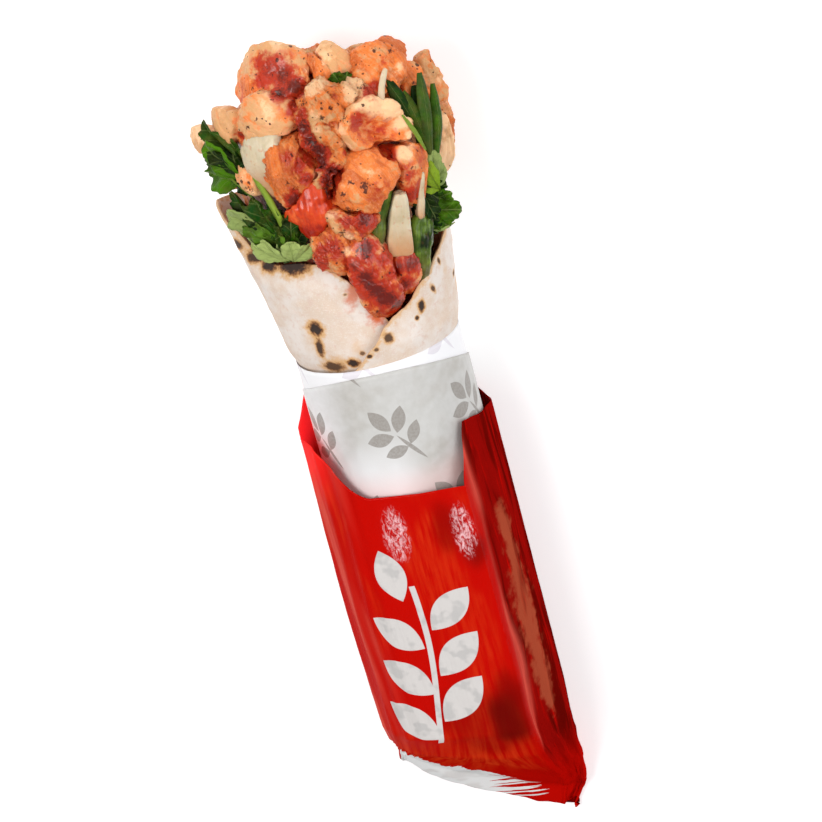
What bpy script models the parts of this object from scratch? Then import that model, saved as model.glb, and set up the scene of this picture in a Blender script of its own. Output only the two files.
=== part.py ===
"""Doner kebab wrap in a paper sleeve and a paper bag, lying on its back.

The wrap runs along Y with its open, filled end towards +Y, and the shown side faces +Z.
The bag's flat back panel lies on the table at z = 0, and the origin is on that panel.
From outside to inside: the bag, the greaseproof sleeve rolled twice round, the rolled
flatbread, the core of packed meat that runs through it, and on the core the slices of
chicken, the vegetables and the bunches of parsley that stand out of the open end.
"""

import math

import bmesh
import bpy
from mathutils import Matrix, Vector

MM = 0.001

# The roll
ROLL_AXIS_Z = 28.5 * MM  # height of the roll's axis above the table
SLEEVE_RADIUS = 27.5 * MM  # outside of the paper sleeve
SLEEVE_PAPER = 0.3 * MM
SLEEVE_PITCH = 0.5 * MM  # how far a turn of the sleeve lies inside the turn before
SLEEVE_BOTTOM = -42 * MM
SLEEVE_TOP = 83.5 * MM  # rim of the inner turn, all round
OUTER_TURN_LOW = 72.5 * MM  # rim of the outer turn at the sides
OUTER_TURN_HUMP = 8.7 * MM  # and how much higher it is in front

BREAD_RADIUS = 25.9 * MM
BREAD_THICK = 2.0 * MM
BREAD_PITCH = 2.35 * MM
BREAD_BOTTOM = -40.5 * MM
BREAD_FLARE_FROM = 84 * MM  # the roll is straight up to here, and opens above
BREAD_FLARE_TO = 136 * MM

CORE_BOTTOM = -39 * MM

# The bag
BAG_PAPER = 0.6 * MM
BAG_HEIGHT = 57.2 * MM
BAG_ROUND = (8 * MM, 25 * MM, 20 * MM)  # corners: low left, high left, low right
BAG_CREASE_DROP = 2.6 * MM  # the sharp high right crease lies this far below the front
BAG_SPREAD = 1.7 * MM  # how far the back panel's left edge stands out beyond the left side

# How the pieces pack
GAP = 0.6 * MM  # kept between two pieces of food
TABLE_GAP = 0.8 * MM  # between the lowest slices and the table

# The bread's rim where it is unrolled: degrees round the roll from the front, clockwise
# seen from the open end's left, and the rim's place along Y in mm. Both ends of the sheet
# fall away because the loaf is round, and the two falls cross as a V in front.
BREAD_RIM = (
    (-70, 30), (-40, 60), (-4, 84), (10, 90), (22, 96), (36, 99.5), (52, 105.5), (70, 111.5),
    (90, 119), (120, 127), (180, 131), (240, 136), (268, 138), (285, 131), (300, 121.5),
    (315, 119.5), (334, 119.5), (350, 118.5), (364, 113), (378, 102), (390, 93), (400, 84),
    (425, 60), (450, 30),
)  # fmt: skip
# How far the open end leans outwards at the bread's highest rim, by the same angles, in mm
BREAD_FLARE = (
    (-90, 11), (-50, 6), (0, 2.5), (50, 5), (90, 7), (140, 2), (180, 0.8), (225, 3), (270, 11)
)  # fmt: skip

# The core's half width and half height in mm at each place along Y, as it swells and closes
CORE_SWELL = (
    (-39, 20.2, 20.2), (84, 20.2, 20.2), (105, 21.8, 21), (130, 26.8, 21.5), (148, 30.5, 23),
    (160, 28.5, 20.5), (167, 21, 14.5), (172, 10, 7),
)  # fmt: skip

# The bag's mouth: how far up along Y the cut edge reaches at each height (all mm), going up
# the left side, then down the right side. The front panel is cut out between the two.
BAG_RIM_LEFT = (
    (0, 62), (10, 66.5), (22, 66), (38, 61), (49.9, 59.5), (53.8, 53.3), (56.3, 44.5), (57.2, 41.5)
)  # fmt: skip
BAG_RIM_RIGHT = ((0, 56), (10, 51), (30, 54), (46, 57.5), (54.5, 39.5), (57.2, 40.5))

# The mouth's left and right edge, place of the crease across the front, and height (all mm)
BAG_MOUTH = (-30.9, 28.6, 21.5, 57.2)

# The bag's stations below the mouth: place along Y where x is 0, left and right edge, place
# of the crease across the front, height (all mm), and how much the station slants. The front
# falls steeply to the flat strip that closes the end.
BAG_STATIONS = (
    (0, -31.9, 28.6, 21.5, 57.2, 0.0), (-46, -31.2, 28.6, 21, 57.2, 0.08),
    (-57, -31.4, 28.4, 20.6, 51, 0.2), (-67, -32.2, 27.8, 20, 37, 0.34),
    (-76, -33.8, 26.2, 18.5, 20, 0.44), (-83.5, -35.4, 23.5, 17, 8, 0.52),
    (-91.5, -36.6, 19, 14, 5, 0.58),
)  # fmt: skip

FOOD = {
    "chicken": ((0.82, 0.50, 0.26), 0.5),
    "sauced": ((0.66, 0.16, 0.06), 0.3),
    "tomato": ((0.76, 0.14, 0.05), 0.25),
    "onion": ((0.88, 0.84, 0.70), 0.35),
    "pepper": ((0.16, 0.36, 0.05), 0.35),
    "parsley": ((0.10, 0.32, 0.03), 0.5),
}

# Each piece of the filling: name, food, centre, (width, length, thickness), then the turn
# about its own face, the lean of that face from +Z towards +X, its nod towards +Y, all in
# degrees, and how much it bends along its length and across its width. Sizes are in mm.
PIECES = (
    ("crown_left", "chicken", (-7.5, 175, 42), (19, 25, 8), (-40, -30, 25), (-0.10, -0.15)),
    ("crown_strip_left", "chicken", (3.5, 176, 44), (6.5, 14, 5), (10, 5, 30), (-0.1, 0)),
    ("crown_strip_right", "chicken", (9, 176.5, 41), (6, 15, 5), (20, 20, 35), (-0.1, 0)),
    ("crown_pale", "chicken", (14, 175.5, 37.5), (11, 17, 6), (20, 30, 45), (-0.1, 0)),
    ("crown_right", "chicken", (24, 171.5, 39.5), (17, 22, 8), (-25, 45, 30), (-0.12, -0.1)),
    ("crown_back", "chicken", (33, 164, 31), (9, 20, 6), (5, 70, 20), (-0.1, 0)),
    ("strand_high", "chicken", (37, 160.5, 24), (8, 20, 5), (8, 80, 10), (0.08, 0)),
    ("strand_low", "chicken", (36.5, 141, 27), (9, 28, 5), (-8, 85, -6), (-0.06, 0)),
    ("left_fold", "chicken", (-12.5, 166, 49.5), (15, 23, 8), (-75, -28, 12), (-0.25, 0)),
    ("left_small", "chicken", (-25, 165, 43), (10, 16, 6), (20, -50, 20), (-0.1, 0)),
    ("left_tip", "chicken", (-34.5, 160, 36), (12, 15, 5), (30, -65, 10), (-0.1, 0)),
    ("centre_top", "chicken", (9, 163.5, 51.5), (20, 24, 9), (-15, 8, 14), (-0.08, -0.1)),
    ("centre_fibre", "chicken", (18.5, 168, 45.5), (11, 12, 6), (-55, 30, 25), (0, 0)),
    ("centre_low", "chicken", (7, 149.5, 54.5), (11, 17, 9), (-35, 5, 0), (0, 0)),
    ("curl", "chicken", (23.5, 157, 48), (19, 28, 7), (55, 40, 8), (0.18, 0.22)),
    ("chunk_left", "chicken", (-4, 148, 54.5), (14, 24, 10), (0, -10, 0), (-0.1, -0.1)),
    ("chunk_big", "chicken", (15.5, 144, 54), (17.5, 25, 12), (-40, 18, 0), (-0.12, -0.15)),
    ("right_sauced", "chicken", (27, 142, 45.5), (12, 22, 8), (-25, 55, -2), (-0.1, 0)),
    ("saucy_middle", "sauced", (9, 131, 56), (10, 16, 9), (-95, 8, -6), (-0.05, -0.1)),
    ("saucy_low", "sauced", (1.5, 124, 54.5), (12, 18, 9), (25, 0, -12), (-0.05, -0.1)),
    ("saucy_long", "sauced", (11, 110.5, 52.5), (14, 33, 9), (20, 14, -12), (-0.06, -0.12)),
    ("saucy_nub", "sauced", (20, 109.5, 47.5), (9, 15, 7), (-10, 42, -12), (0, 0)),
    ("left_crumb", "chicken", (-20, 148, 50), (6, 10, 5), (15, -35, 0), (0, 0)),
    ("tomato", "tomato", (-2.5, 135, 54.5), (13, 20, 10), (5, -8, -5), (-0.05, -0.15)),
    ("onion_left", "onion", (-14, 153, 53), (11, 23, 5), (0, -25, 2), (-0.08, -0.1)),
    ("onion_wedge", "onion", (21.5, 126.5, 51.5), (8.5, 21, 5), (-18, 30, -4), (-0.04, 0)),
    ("onion_sliver", "onion", (30.5, 129, 43), (4, 14, 4), (-12, 60, -4), (0, 0)),
    ("pepper_middle", "pepper", (15.3, 127.5, 52), (6, 20, 7), (-20, 15, -4), (-0.04, 0)),
    ("pepper_right", "pepper", (25, 114, 44.5), (8, 21, 5), (-20, 55, -6), (-0.05, -0.1)),
    ("parsley_stems", "parsley", (31, 153, 38.5), (16, 23, 9), (5, 60, 0), (0, 0)),
    ("parsley_right", "parsley", (33.5, 124, 34.5), (13, 21, 9), (-15, 80, -5), (-0.05, -0.1)),
    ("parsley_left", "parsley", (-29.5, 149.5, 41), (17, 23, 8), (30, -58, 0), (-0.08, -0.1)),
    ("parsley_low", "parsley", (-21, 135.5, 47), (15, 27, 9), (28, -42, -4), (-0.05, -0.1)),
    ("parsley_lip", "parsley", (-11, 125, 51), (10, 21, 7), (55, -22, -8), (-0.05, 0)),
    ("right_low", "chicken", (34, 146, 15), (15, 25, 7), (10, 115, 0), (-0.1, -0.1)),
    ("right_under", "chicken", (20, 148, 6.5), (17, 27, 7), (-12, 145, 0), (-0.1, -0.1)),
    ("middle_under", "sauced", (1, 146, 4.5), (18, 28, 7), (8, 180, 0), (-0.1, 0)),
    ("left_under", "chicken", (-18, 147, 7.5), (17, 26, 7), (14, -143, 0), (-0.1, -0.1)),
    ("left_low", "chicken", (-33, 148, 19), (15, 25, 7), (-12, -112, 0), (-0.1, -0.1)),
    ("end_under", "chicken", (2, 166, 11), (18, 21, 7), (80, 180, 28), (-0.1, 0)),
    ("end_right", "sauced", (20, 166, 15), (15, 20, 7), (-20, 135, 32), (-0.1, -0.1)),
    ("end_left", "chicken", (-17, 166, 15), (15, 21, 7), (15, -130, 28), (-0.1, -0.1)),
    ("end_middle", "chicken", (3, 174, 27), (17, 21, 7), (80, 10, 84), (-0.1, 0)),
    ("end_outer", "chicken", (20, 171.5, 26), (13, 18, 7), (20, 50, 72), (-0.1, 0)),
    ("end_inner", "sauced", (-12, 172.5, 28), (13, 18, 7), (-10, -40, 66), (-0.1, 0)),
)


def ease_through(points, at):
    """Value at a place between given points, easing in and out of each."""
    if at <= points[0][0]:
        return points[0][1]
    for (x0, y0), (x1, y1) in zip(points, points[1:]):
        if at <= x1:
            share = (at - x0) / (x1 - x0)
            smooth = 0.5 * share + 0.5 * share * share * (3 - 2 * share)
            return y0 + (y1 - y0) * smooth
    return points[-1][1]


def material(name, colour, roughness):
    """Plain material of that name, made once."""
    made = bpy.data.materials.get(name)
    if made is None:
        made = bpy.data.materials.new(name)
        made.use_nodes = True
        shader = made.node_tree.nodes["Principled BSDF"]
        shader.inputs["Base Color"].default_value = (*colour, 1)
        shader.inputs["Roughness"].default_value = roughness
        shader.inputs["Metallic"].default_value = 0.0
    return made


def add_object(name, bm, finish):
    """The bmesh as a named, smooth shaded object."""
    bmesh.ops.recalc_face_normals(bm, faces=bm.faces)
    if bm.calc_volume(signed=True) < 0:
        bmesh.ops.reverse_faces(bm, faces=bm.faces)
    mesh = bpy.data.meshes.new(name)
    bm.to_mesh(mesh)
    bm.free()
    mesh.shade_smooth()
    mesh.set_sharp_from_angle(angle=math.radians(40))
    mesh.materials.append(finish)
    made = bpy.data.objects.new(name, mesh)
    bpy.context.scene.collection.objects.link(made)
    return made


def thicken(target, thickness, offset):
    """Gives a sheet its thickness. Offset 0 keeps the sheet in the middle, -1 on the outside."""
    solid = target.modifiers.new("paper_thickness", "SOLIDIFY")
    solid.thickness = thickness
    solid.offset = offset
    solid.use_even_offset = True


def on_roll(degrees, radius, y):
    """Point on the roll: the angle runs from the front (+Z) towards +X."""
    angle = math.radians(degrees)
    return Vector((radius * math.sin(angle), y, ROLL_AXIS_Z + radius * math.cos(angle)))


def rolled_sheet(name, degrees, columns, rows, bottom, top_at, radius_at, thickness, finish):
    """A sheet rolled round the axis, from its outer edge to its inner one."""
    bm = bmesh.new()
    bmesh.ops.create_grid(bm, x_segments=columns, y_segments=rows, size=0.5)
    for vertex in bm.verts:
        turn = degrees[0] + (degrees[1] - degrees[0]) * (vertex.co.x + 0.5)
        y = bottom + (top_at(turn) - bottom) * (vertex.co.y + 0.5)
        vertex.co = on_roll(turn, radius_at(turn, y), y)
    sheet = add_object(name, bm, finish)
    thicken(sheet, thickness, 0)
    return sheet


def bread_rim(degrees):
    return ease_through(BREAD_RIM, degrees) * MM


def bread_flare(degrees, y):
    """How far the bread has opened outwards at this angle and height."""
    round_angle = (degrees + 90) % 360 - 90
    share = max(0.0, (y - BREAD_FLARE_FROM) / (BREAD_FLARE_TO - BREAD_FLARE_FROM))
    return ease_through(BREAD_FLARE, round_angle) * MM * share**1.2


def bread_middle(degrees, y):
    """Radius of the middle of the bread's thickness. It winds inwards from the outer edge."""
    turns = (degrees - BREAD_RIM[0][0]) / 360
    return BREAD_RADIUS - BREAD_THICK / 2 - BREAD_PITCH * turns + bread_flare(degrees, y)


def make_bread():
    rolled_sheet(
        "flatbread",
        (BREAD_RIM[0][0], BREAD_RIM[-1][0]),
        columns=50,
        rows=8,
        bottom=BREAD_BOTTOM,
        top_at=bread_rim,
        radius_at=bread_middle,
        thickness=BREAD_THICK,
        finish=material("flatbread", (0.86, 0.74, 0.60), 0.8),
    )


def make_sleeve():
    """Greaseproof sheet wound twice round the bread. The outer turn stops lower down."""
    outer_edge = -200
    outer_turn_ends = 150

    def rim(degrees):
        if degrees > outer_turn_ends + 60:
            return SLEEVE_TOP
        hump = OUTER_TURN_LOW + OUTER_TURN_HUMP * math.cos(math.radians(degrees - 5))
        rise = min(1.0, max(0.0, (degrees - outer_turn_ends) / 60))
        return hump + (SLEEVE_TOP - hump) * rise

    def radius(degrees, y):
        return SLEEVE_RADIUS - SLEEVE_PAPER / 2 - SLEEVE_PITCH * (degrees - outer_edge) / 360

    rolled_sheet(
        "paper_sleeve",
        (outer_edge, outer_edge + 720),
        columns=64,
        rows=2,
        bottom=SLEEVE_BOTTOM,
        top_at=rim,
        radius_at=radius,
        thickness=SLEEVE_PAPER,
        finish=material("white_paper", (0.88, 0.88, 0.87), 0.55),
    )


def core_half_sizes(y):
    """The core's half width and half height at a place along Y."""
    at = y / MM
    wide = ease_through([(p[0], p[1]) for p in CORE_SWELL], at)
    high = ease_through([(p[0], p[2]) for p in CORE_SWELL], at)
    return wide * MM, high * MM


def make_core():
    """The packed filling that runs through the roll, and on which the slices lie."""
    segments = 20
    bm = bmesh.new()
    bmesh.ops.create_circle(bm, cap_ends=True, segments=segments, radius=1.0)
    edges = list(bm.edges)
    stations = [CORE_BOTTOM, *[p[0] * MM for p in CORE_SWELL[1:]]]
    for row, y in enumerate(stations):
        if row:
            grown = bmesh.ops.extrude_edge_only(bm, edges=edges)["geom"]
            edges = [e for e in grown if isinstance(e, bmesh.types.BMEdge)]
        ring = {vertex for edge in edges for vertex in edge.verts}
        wide, high = core_half_sizes(y)
        for vertex in ring:
            angle = math.atan2(vertex.co.x, vertex.co.y if row == 0 else vertex.co.z - ROLL_AXIS_Z)
            vertex.co = (wide * math.sin(angle), y, ROLL_AXIS_Z + high * math.cos(angle))
    bmesh.ops.holes_fill(bm, edges=edges)
    add_object("filling_core", bm, material("packed_filling", (0.42, 0.15, 0.07), 0.55))


def corner(x, z, radius, first, steps):
    """Points round a quarter circle in the bag's cross-section, clockwise from an angle."""
    angles = [math.radians(first + 90 * step / steps) for step in range(steps + 1)]
    return [(x + radius * math.sin(a), z + radius * math.cos(a)) for a in angles]


def bag_section(left, right, crease, height):
    """The bag's cross-section as (x, z) points, clockwise from the middle of its back."""
    low_left, high_left, low_right = (min(r, height * 0.42) for r in BAG_ROUND)
    drop = BAG_CREASE_DROP * height / BAG_HEIGHT
    spread = BAG_SPREAD * height / BAG_HEIGHT
    return [
        ((left + right) / 2, 0.0),
        *corner(left - spread + low_left, low_left, low_left, 180, 3),
        *corner(left + high_left, height - high_left, high_left, 270, 6),
        ((left + high_left + crease) / 2, height),
        (crease - 3 * drop, height - 0.2 * drop),
        (crease, height - drop),
        (crease + 0.4 * (right - crease), height * 0.8),
        (right - 0.16 * (right - crease), height * 0.64),
        (right, height * 0.5),
        *corner(right - low_right, low_right, low_right, 90, 5),
    ]


def bag_rim(x, z):
    """Place along Y of the bag's cut edge."""
    return ease_through(BAG_RIM_LEFT if x < 0 else BAG_RIM_RIGHT, z / MM) * MM


def make_bag():
    """Paper bag: a closed end that slants, flat back on the table, a cut-out in front."""
    rows = []
    mouth = bag_section(*(size * MM for size in BAG_MOUTH))
    rows.append([Vector((x, bag_rim(x, z), z)) for x, z in mouth])
    for y, left, right, crease, height, slant in BAG_STATIONS:
        section = bag_section(left * MM, right * MM, crease * MM, height * MM)
        rows.append([Vector((x, y * MM - slant * x, z)) for x, z in section])
    bm = bmesh.new()
    bmesh.ops.create_circle(bm, segments=len(rows[0]), radius=1.0)
    bm.verts.ensure_lookup_table()
    ring = list(bm.verts)
    edges = list(bm.edges)
    for number, row in enumerate(rows):
        if number:
            grown = bmesh.ops.extrude_edge_only(bm, edges=edges)["geom"]
            edges = [e for e in grown if isinstance(e, bmesh.types.BMEdge)]
            fresh = [v for v in grown if isinstance(v, bmesh.types.BMVert)]
            ring = [next(v for v in fresh if (v.co - old.co).length < 1e-9) for old in ring]
        for vertex, place in zip(ring, row):
            vertex.co = place
    bmesh.ops.holes_fill(bm, edges=edges)
    bag = add_object("paper_bag", bm, material("red_paper", (0.66, 0.02, 0.015), 0.3))
    thicken(bag, BAG_PAPER, -1)


class Piece:
    """One slice: a slab with a round, uneven rim, bent along its length and its width."""

    def __init__(self, name, food, centre, size, angles, bends):
        self.name = name
        self.food = food
        self.centre = Vector(centre) * MM
        self.half = Vector(size) * (MM / 2)
        self.bend, self.cup = bends
        turn, lean, nod = (math.radians(a) for a in angles)
        tilt = Matrix.Rotation(lean, 3, "Y") @ Matrix.Rotation(-nod, 3, "X")
        self.frame = tilt @ Matrix.Rotation(turn, 3, "Z")
        self.inverse = self.frame.transposed()
        self.reach = self.half.length * 1.35
        seed = sum(ord(letter) * (i + 1) for i, letter in enumerate(name))
        self.phases = [seed * k % math.tau for k in (0.37, 0.73, 1.19)]

    def rim(self, angle):
        """The rim's distance from the middle, by the angle round it; 1 is a plain oval."""
        first, second, third = self.phases
        waves = 0.10 * math.sin(2 * angle + first) + 0.09 * math.sin(3 * angle + second)
        return 0.97 + waves + 0.06 * math.sin(5 * angle + third)

    def level(self, x, y, z):
        """0 in the middle, 1 on the surface, by shares of the half sizes."""
        across = math.hypot(x, y) / self.rim(math.atan2(y, x))
        return (across**3.2 + abs(z) ** 3.2) ** (1 / 3.2)

    def place(self, x, y, z):
        """A point of the slice from its shares of the half sizes."""
        lift = self.bend * self.half.y * (y * y - 0.35) + self.cup * self.half.x * (x * x - 0.35)
        local = Vector((x * self.half.x, y * self.half.y, z * self.half.z + lift))
        return self.centre + self.frame @ local

    def depth(self, point):
        """Roughly how far a point lies outside the slice; negative inside."""
        local = self.inverse @ (point - self.centre)
        x, y = local.x / self.half.x, local.y / self.half.y
        lift = self.bend * self.half.y * (y * y - 0.35) + self.cup * self.half.x * (x * x - 0.35)
        return (self.level(x, y, (local.z - lift) / self.half.z) - 1) * self.half.z


def clear_of_roll(point):
    """Whether a point of the filling is off the table, the core and the bread."""
    if point.z < TABLE_GAP:
        return False
    x, z = point.x, point.z - ROLL_AXIS_Z
    wide, high = core_half_sizes(point.y)
    if point.y < CORE_SWELL[-1][0] * MM + GAP and math.hypot(x / wide, z / high) < 1 + GAP / high:
        return False
    round_angle = math.degrees(math.atan2(x, z))
    for degrees in (round_angle, round_angle + 360):
        if not BREAD_RIM[0][0] < degrees < BREAD_RIM[-1][0]:
            continue
        inner = bread_middle(degrees, point.y) - BREAD_THICK / 2 - GAP
        if point.y < bread_rim(degrees) + GAP and math.hypot(x, z) > inner:
            return False
    return True


def packed_share(piece, direction, neighbours):
    """How much of the way from a slice's middle to its surface is free, in one direction.

    Two slices that press on each other meet half way between their middles."""

    def is_free(share):
        point = piece.place(*(share * d for d in direction))
        own = (share - 1) * piece.half.z
        return clear_of_roll(point) and all(own <= n.depth(point) - GAP for n in neighbours)

    free = 0.0
    while free < 1 and is_free(min(1.0, free + 0.05)):
        free = min(1.0, free + 0.05)
    if free < 1:
        for halving in range(1, 6):
            if is_free(free + 0.05 / 2**halving):
                free += 0.05 / 2**halving
    return free


def make_piece(piece, everything):
    """The slice as a ball pressed to its slab shape, then held back where others press."""
    neighbours = [
        other
        for other in everything
        if other is not piece and (other.centre - piece.centre).length < other.reach + piece.reach
    ]
    large = piece.half.x * piece.half.y > 50 * MM * MM
    bm = bmesh.new()
    bmesh.ops.create_uvsphere(bm, u_segments=12 if large else 10, v_segments=8 if large else 6, radius=1.0)
    for vertex in bm.verts:
        full = [d / piece.level(*vertex.co) for d in vertex.co]
        share = packed_share(piece, full, neighbours)
        if share < 0.05:
            raise ValueError(f"{piece.name} is buried: its middle lies in another piece")
        vertex.co = piece.place(*(share * d for d in full))
    colour, roughness = FOOD[piece.food]
    add_object(piece.name, bm, material(piece.food, colour, roughness))


def main():
    for old in list(bpy.data.objects):
        bpy.data.objects.remove(old)
    make_bag()
    make_sleeve()
    make_bread()
    make_core()
    pieces = [Piece(*row) for row in PIECES]
    for piece in pieces:
        make_piece(piece, pieces)


main()
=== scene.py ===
import math

import bmesh
import bpy
import numpy as np
from mathutils import Matrix, Vector, noise


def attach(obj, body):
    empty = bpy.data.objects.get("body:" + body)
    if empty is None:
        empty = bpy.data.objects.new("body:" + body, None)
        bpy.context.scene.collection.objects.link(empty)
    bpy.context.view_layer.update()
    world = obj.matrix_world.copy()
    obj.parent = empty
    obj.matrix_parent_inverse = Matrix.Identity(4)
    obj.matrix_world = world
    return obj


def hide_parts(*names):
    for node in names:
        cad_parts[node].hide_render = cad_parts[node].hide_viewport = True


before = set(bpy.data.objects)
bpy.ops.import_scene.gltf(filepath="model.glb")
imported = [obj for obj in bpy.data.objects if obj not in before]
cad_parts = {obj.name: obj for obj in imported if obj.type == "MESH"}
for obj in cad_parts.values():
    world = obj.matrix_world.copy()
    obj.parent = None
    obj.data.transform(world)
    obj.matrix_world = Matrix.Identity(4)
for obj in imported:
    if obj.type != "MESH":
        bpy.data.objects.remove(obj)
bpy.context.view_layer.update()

MM = 0.001
noise.seed_set(11)  # so that noise_vector gives the same shapes in every run

# ---------------------------------------------------------------- view, light and floor
# The wrap lies on its back on a pale table. The view is from above, a little from the open end
# and from the right, with the camera rolled so that the wrap crosses the picture at a slant.
# One soft lamp hangs to the upper left, and weaker ones fill in from the right and the open end.

VIEW_TARGET = Vector((3.67, 56.21, 25.25)) * MM
VIEW_DISTANCE = 0.95
VIEW_LEAN_RIGHT = math.radians(14.0)
VIEW_LEAN_UP = math.radians(20.0)
VIEW_ROLL = math.radians(15.2)
VIEW_LENS = 130.0  # mm, on a sensor 36 mm wide
# Lamps: where each hangs, the point it shines at, its size, its watts and its colour
LAMPS = {
    "key_lamp": ((-0.30, 0.30, 0.90), (0, 0.05, 0.02), 0.42, 5.6, (1.0, 0.985, 0.96)),
    "fill_lamp": ((0.68, 0.15, 0.62), (0, 0.05, 0.02), 0.6, 3.6, (0.98, 0.99, 1.0)),
    "end_lamp": ((0.05, 0.95, 0.45), (0, 0.1, 0.03), 0.5, 1.8, (1.0, 1.0, 1.0)),
}
FLOOR_REACH = 3.0


def place_camera():
    """Camera that looks along the line of view, rolled about it."""
    back = Vector((
        math.sin(VIEW_LEAN_RIGHT) * math.cos(VIEW_LEAN_UP),
        math.sin(VIEW_LEAN_UP),
        math.cos(VIEW_LEAN_RIGHT) * math.cos(VIEW_LEAN_UP),
    ))
    along = Vector((0, 1, 0))
    upright = (along - back * along.dot(back)).normalized()
    sideways = upright.cross(back)
    up = math.cos(VIEW_ROLL) * upright + math.sin(VIEW_ROLL) * sideways
    right = math.cos(VIEW_ROLL) * sideways - math.sin(VIEW_ROLL) * upright
    camera = bpy.data.objects.new("camera", bpy.data.cameras.new("camera"))
    camera.data.lens = VIEW_LENS
    camera.data.sensor_width = 36.0
    camera.data.clip_start = 0.05
    camera.data.clip_end = 10.0
    place = VIEW_TARGET + back * VIEW_DISTANCE
    camera.matrix_world = Matrix((
        (right.x, up.x, back.x, place.x),
        (right.y, up.y, back.y, place.y),
        (right.z, up.z, back.z, place.z),
        (0, 0, 0, 1),
    ))
    bpy.context.scene.collection.objects.link(camera)
    bpy.context.scene.camera = camera


def add_lamp(name, place, aim, size, watts, colour):
    """Square area lamp that shines from a place to a point."""
    lamp = bpy.data.lights.new(name, "AREA")
    lamp.size = size
    lamp.energy = watts
    lamp.color = colour
    holder = bpy.data.objects.new(name, lamp)
    holder.location = place
    holder.rotation_euler = (Vector(aim) - Vector(place)).to_track_quat("-Z", "Y").to_euler()
    bpy.context.scene.collection.objects.link(holder)


place_camera()
for lamp_name, lamp_row in LAMPS.items():
    add_lamp(lamp_name, *lamp_row)

world = bpy.data.worlds.new("pale_room")
world.use_nodes = True
room_light = world.node_tree.nodes["Background"].inputs
room_light["Color"].default_value = (0.95, 0.96, 1.0, 1)
room_light["Strength"].default_value = 0.36
bpy.context.scene.world = world
bpy.context.scene.view_settings.view_transform = "Standard"

floor_shape = bmesh.new()
bmesh.ops.create_grid(floor_shape, x_segments=1, y_segments=1, size=FLOOR_REACH)
floor_mesh = bpy.data.meshes.new("floor")
floor_shape.to_mesh(floor_mesh)
floor_shape.free()
floor = bpy.data.objects.new("floor", floor_mesh)
bpy.context.scene.collection.objects.link(floor)
floor_paint = bpy.data.materials.new("pale_floor")
floor_paint.use_nodes = True
floor_finish = floor_paint.node_tree.nodes["Principled BSDF"].inputs
floor_finish["Base Color"].default_value = (0.7, 0.7, 0.7, 1)
floor_finish["Roughness"].default_value = 0.9
floor_finish["Emission Color"].default_value = (1, 1, 1, 1)
floor_finish["Emission Strength"].default_value = 0.5
floor_mesh.materials.append(floor_paint)


# ---------------------------------------------------------------- the paper bag
# A red greaseproof bag with a closed, slanted end and a cut-out in its front panel. It is one
# folded sheet: soft long folds down the left side, a sharp crease and a crumpled gusset on the
# right, fine crackle where the roll stretches it, and an unprinted white band at the end.

SHEET_SCALE = 100  # mm of a flat sheet to one unit of its UV map
BAG_PAPER = 0.35 * MM
BAG_HEIGHT = 57.2 * MM
BAG_ROUND = (8 * MM, 25 * MM, 20 * MM)  # the edges' roundings: low left, high left, low right
BAG_CREASE_DROP = 2.6 * MM  # how far the crease lies below the front
BAG_SPREAD = 1.7 * MM  # how far the back stands out on the left
BAG_SINK = 0.62  # how far the paper may sink before it would cut the roll, in mm
# The cut edge on the left and on the right: height in mm, and place along the bag in mm
BAG_RIM_LEFT = (
    (0, 62), (10, 66.5), (22, 66), (38, 61), (49.9, 59.5), (53.8, 53.3), (56.3, 44.5), (57.2, 41.5)
)  # fmt: skip
BAG_RIM_RIGHT = ((0, 56), (10, 51), (30, 54), (46, 57.5), (54.5, 39.5), (57.2, 40.5))
# Cross-sections down to the closed end: place along the bag, left, right, crease and height in
# mm, and how far the row slants across the bag
BAG_STATIONS = (
    (0, -31.9, 28.6, 21.5, 57.2, 0.0), (-46, -31.2, 28.6, 21, 57.2, 0.08),
    (-57, -31.4, 28.4, 20.6, 51, 0.2), (-67, -32.2, 27.8, 20, 37, 0.34),
    (-76, -33.8, 26.2, 18.5, 20, 0.44), (-83.5, -35.4, 23.5, 17, 8, 0.52),
    (-91.5, -36.6, 19, 14, 5, 0.58),
)  # fmt: skip
BAG_MOUTH = (-30.9, 28.6, 21.5, 57.2)  # left, right, crease and height in mm
BAG_CELL = 1.0 * MM  # how fine the sheet is cut into faces
BAG_END_FOLD = ((0.75, 0.5), (0.4, 0.9), (0.06, 1.0))  # height left and mm further, row by row
# How far the pressed end is drawn out past its last station, by the place across it, in mm
BAG_END_REACH = ((-38, 6.5), (-23, 9.6), (3, 6.7), (18, 3.0))
BAG_END_PULL = 42  # the mm before the end over which it is drawn out
# The long folds on the left: place round the bag and depth, in mm
BAG_FOLDS = ((-13, 0.5), (-19, 0.9), (-26, 0.8), (-34, 0.9), (-42, 0.6))
# Places of painted shade, and glossy places that also carry a painted highlight: place round the
# bag and along it, width and length in mm, and for the shaded ones how dark
BAG_PAINTED_SHADE_SPOTS = (
    (7, -40, 13, 13, 0.45), (16, -41, 7, 13, 0.95), (13, 27, 5, 9, 0.5), (20, 17, 5, 6, 0.6),
    (9, -50, 9, 6, 0.4), (6, 0, 5, 4, 0.3),
)  # fmt: skip
BAG_GLOSS_AND_PAINTED_HIGHLIGHT_SPOTS = ((-3.5, 28, 4.6, 10.5), (17.5, 25, 4.0, 10.5))

# Tones of the red paper, several of them painted light and shade: deep is painted shade in the
# dark spots and the gusset, shaded the gusset's painted shade, brown a painted reflection on
# the gusset, painted_sheen painted shine on the folds and by the crease, inside painted light on
# the mouth's inner wall, and gloss_and_painted_highlight a painted highlight.
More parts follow.
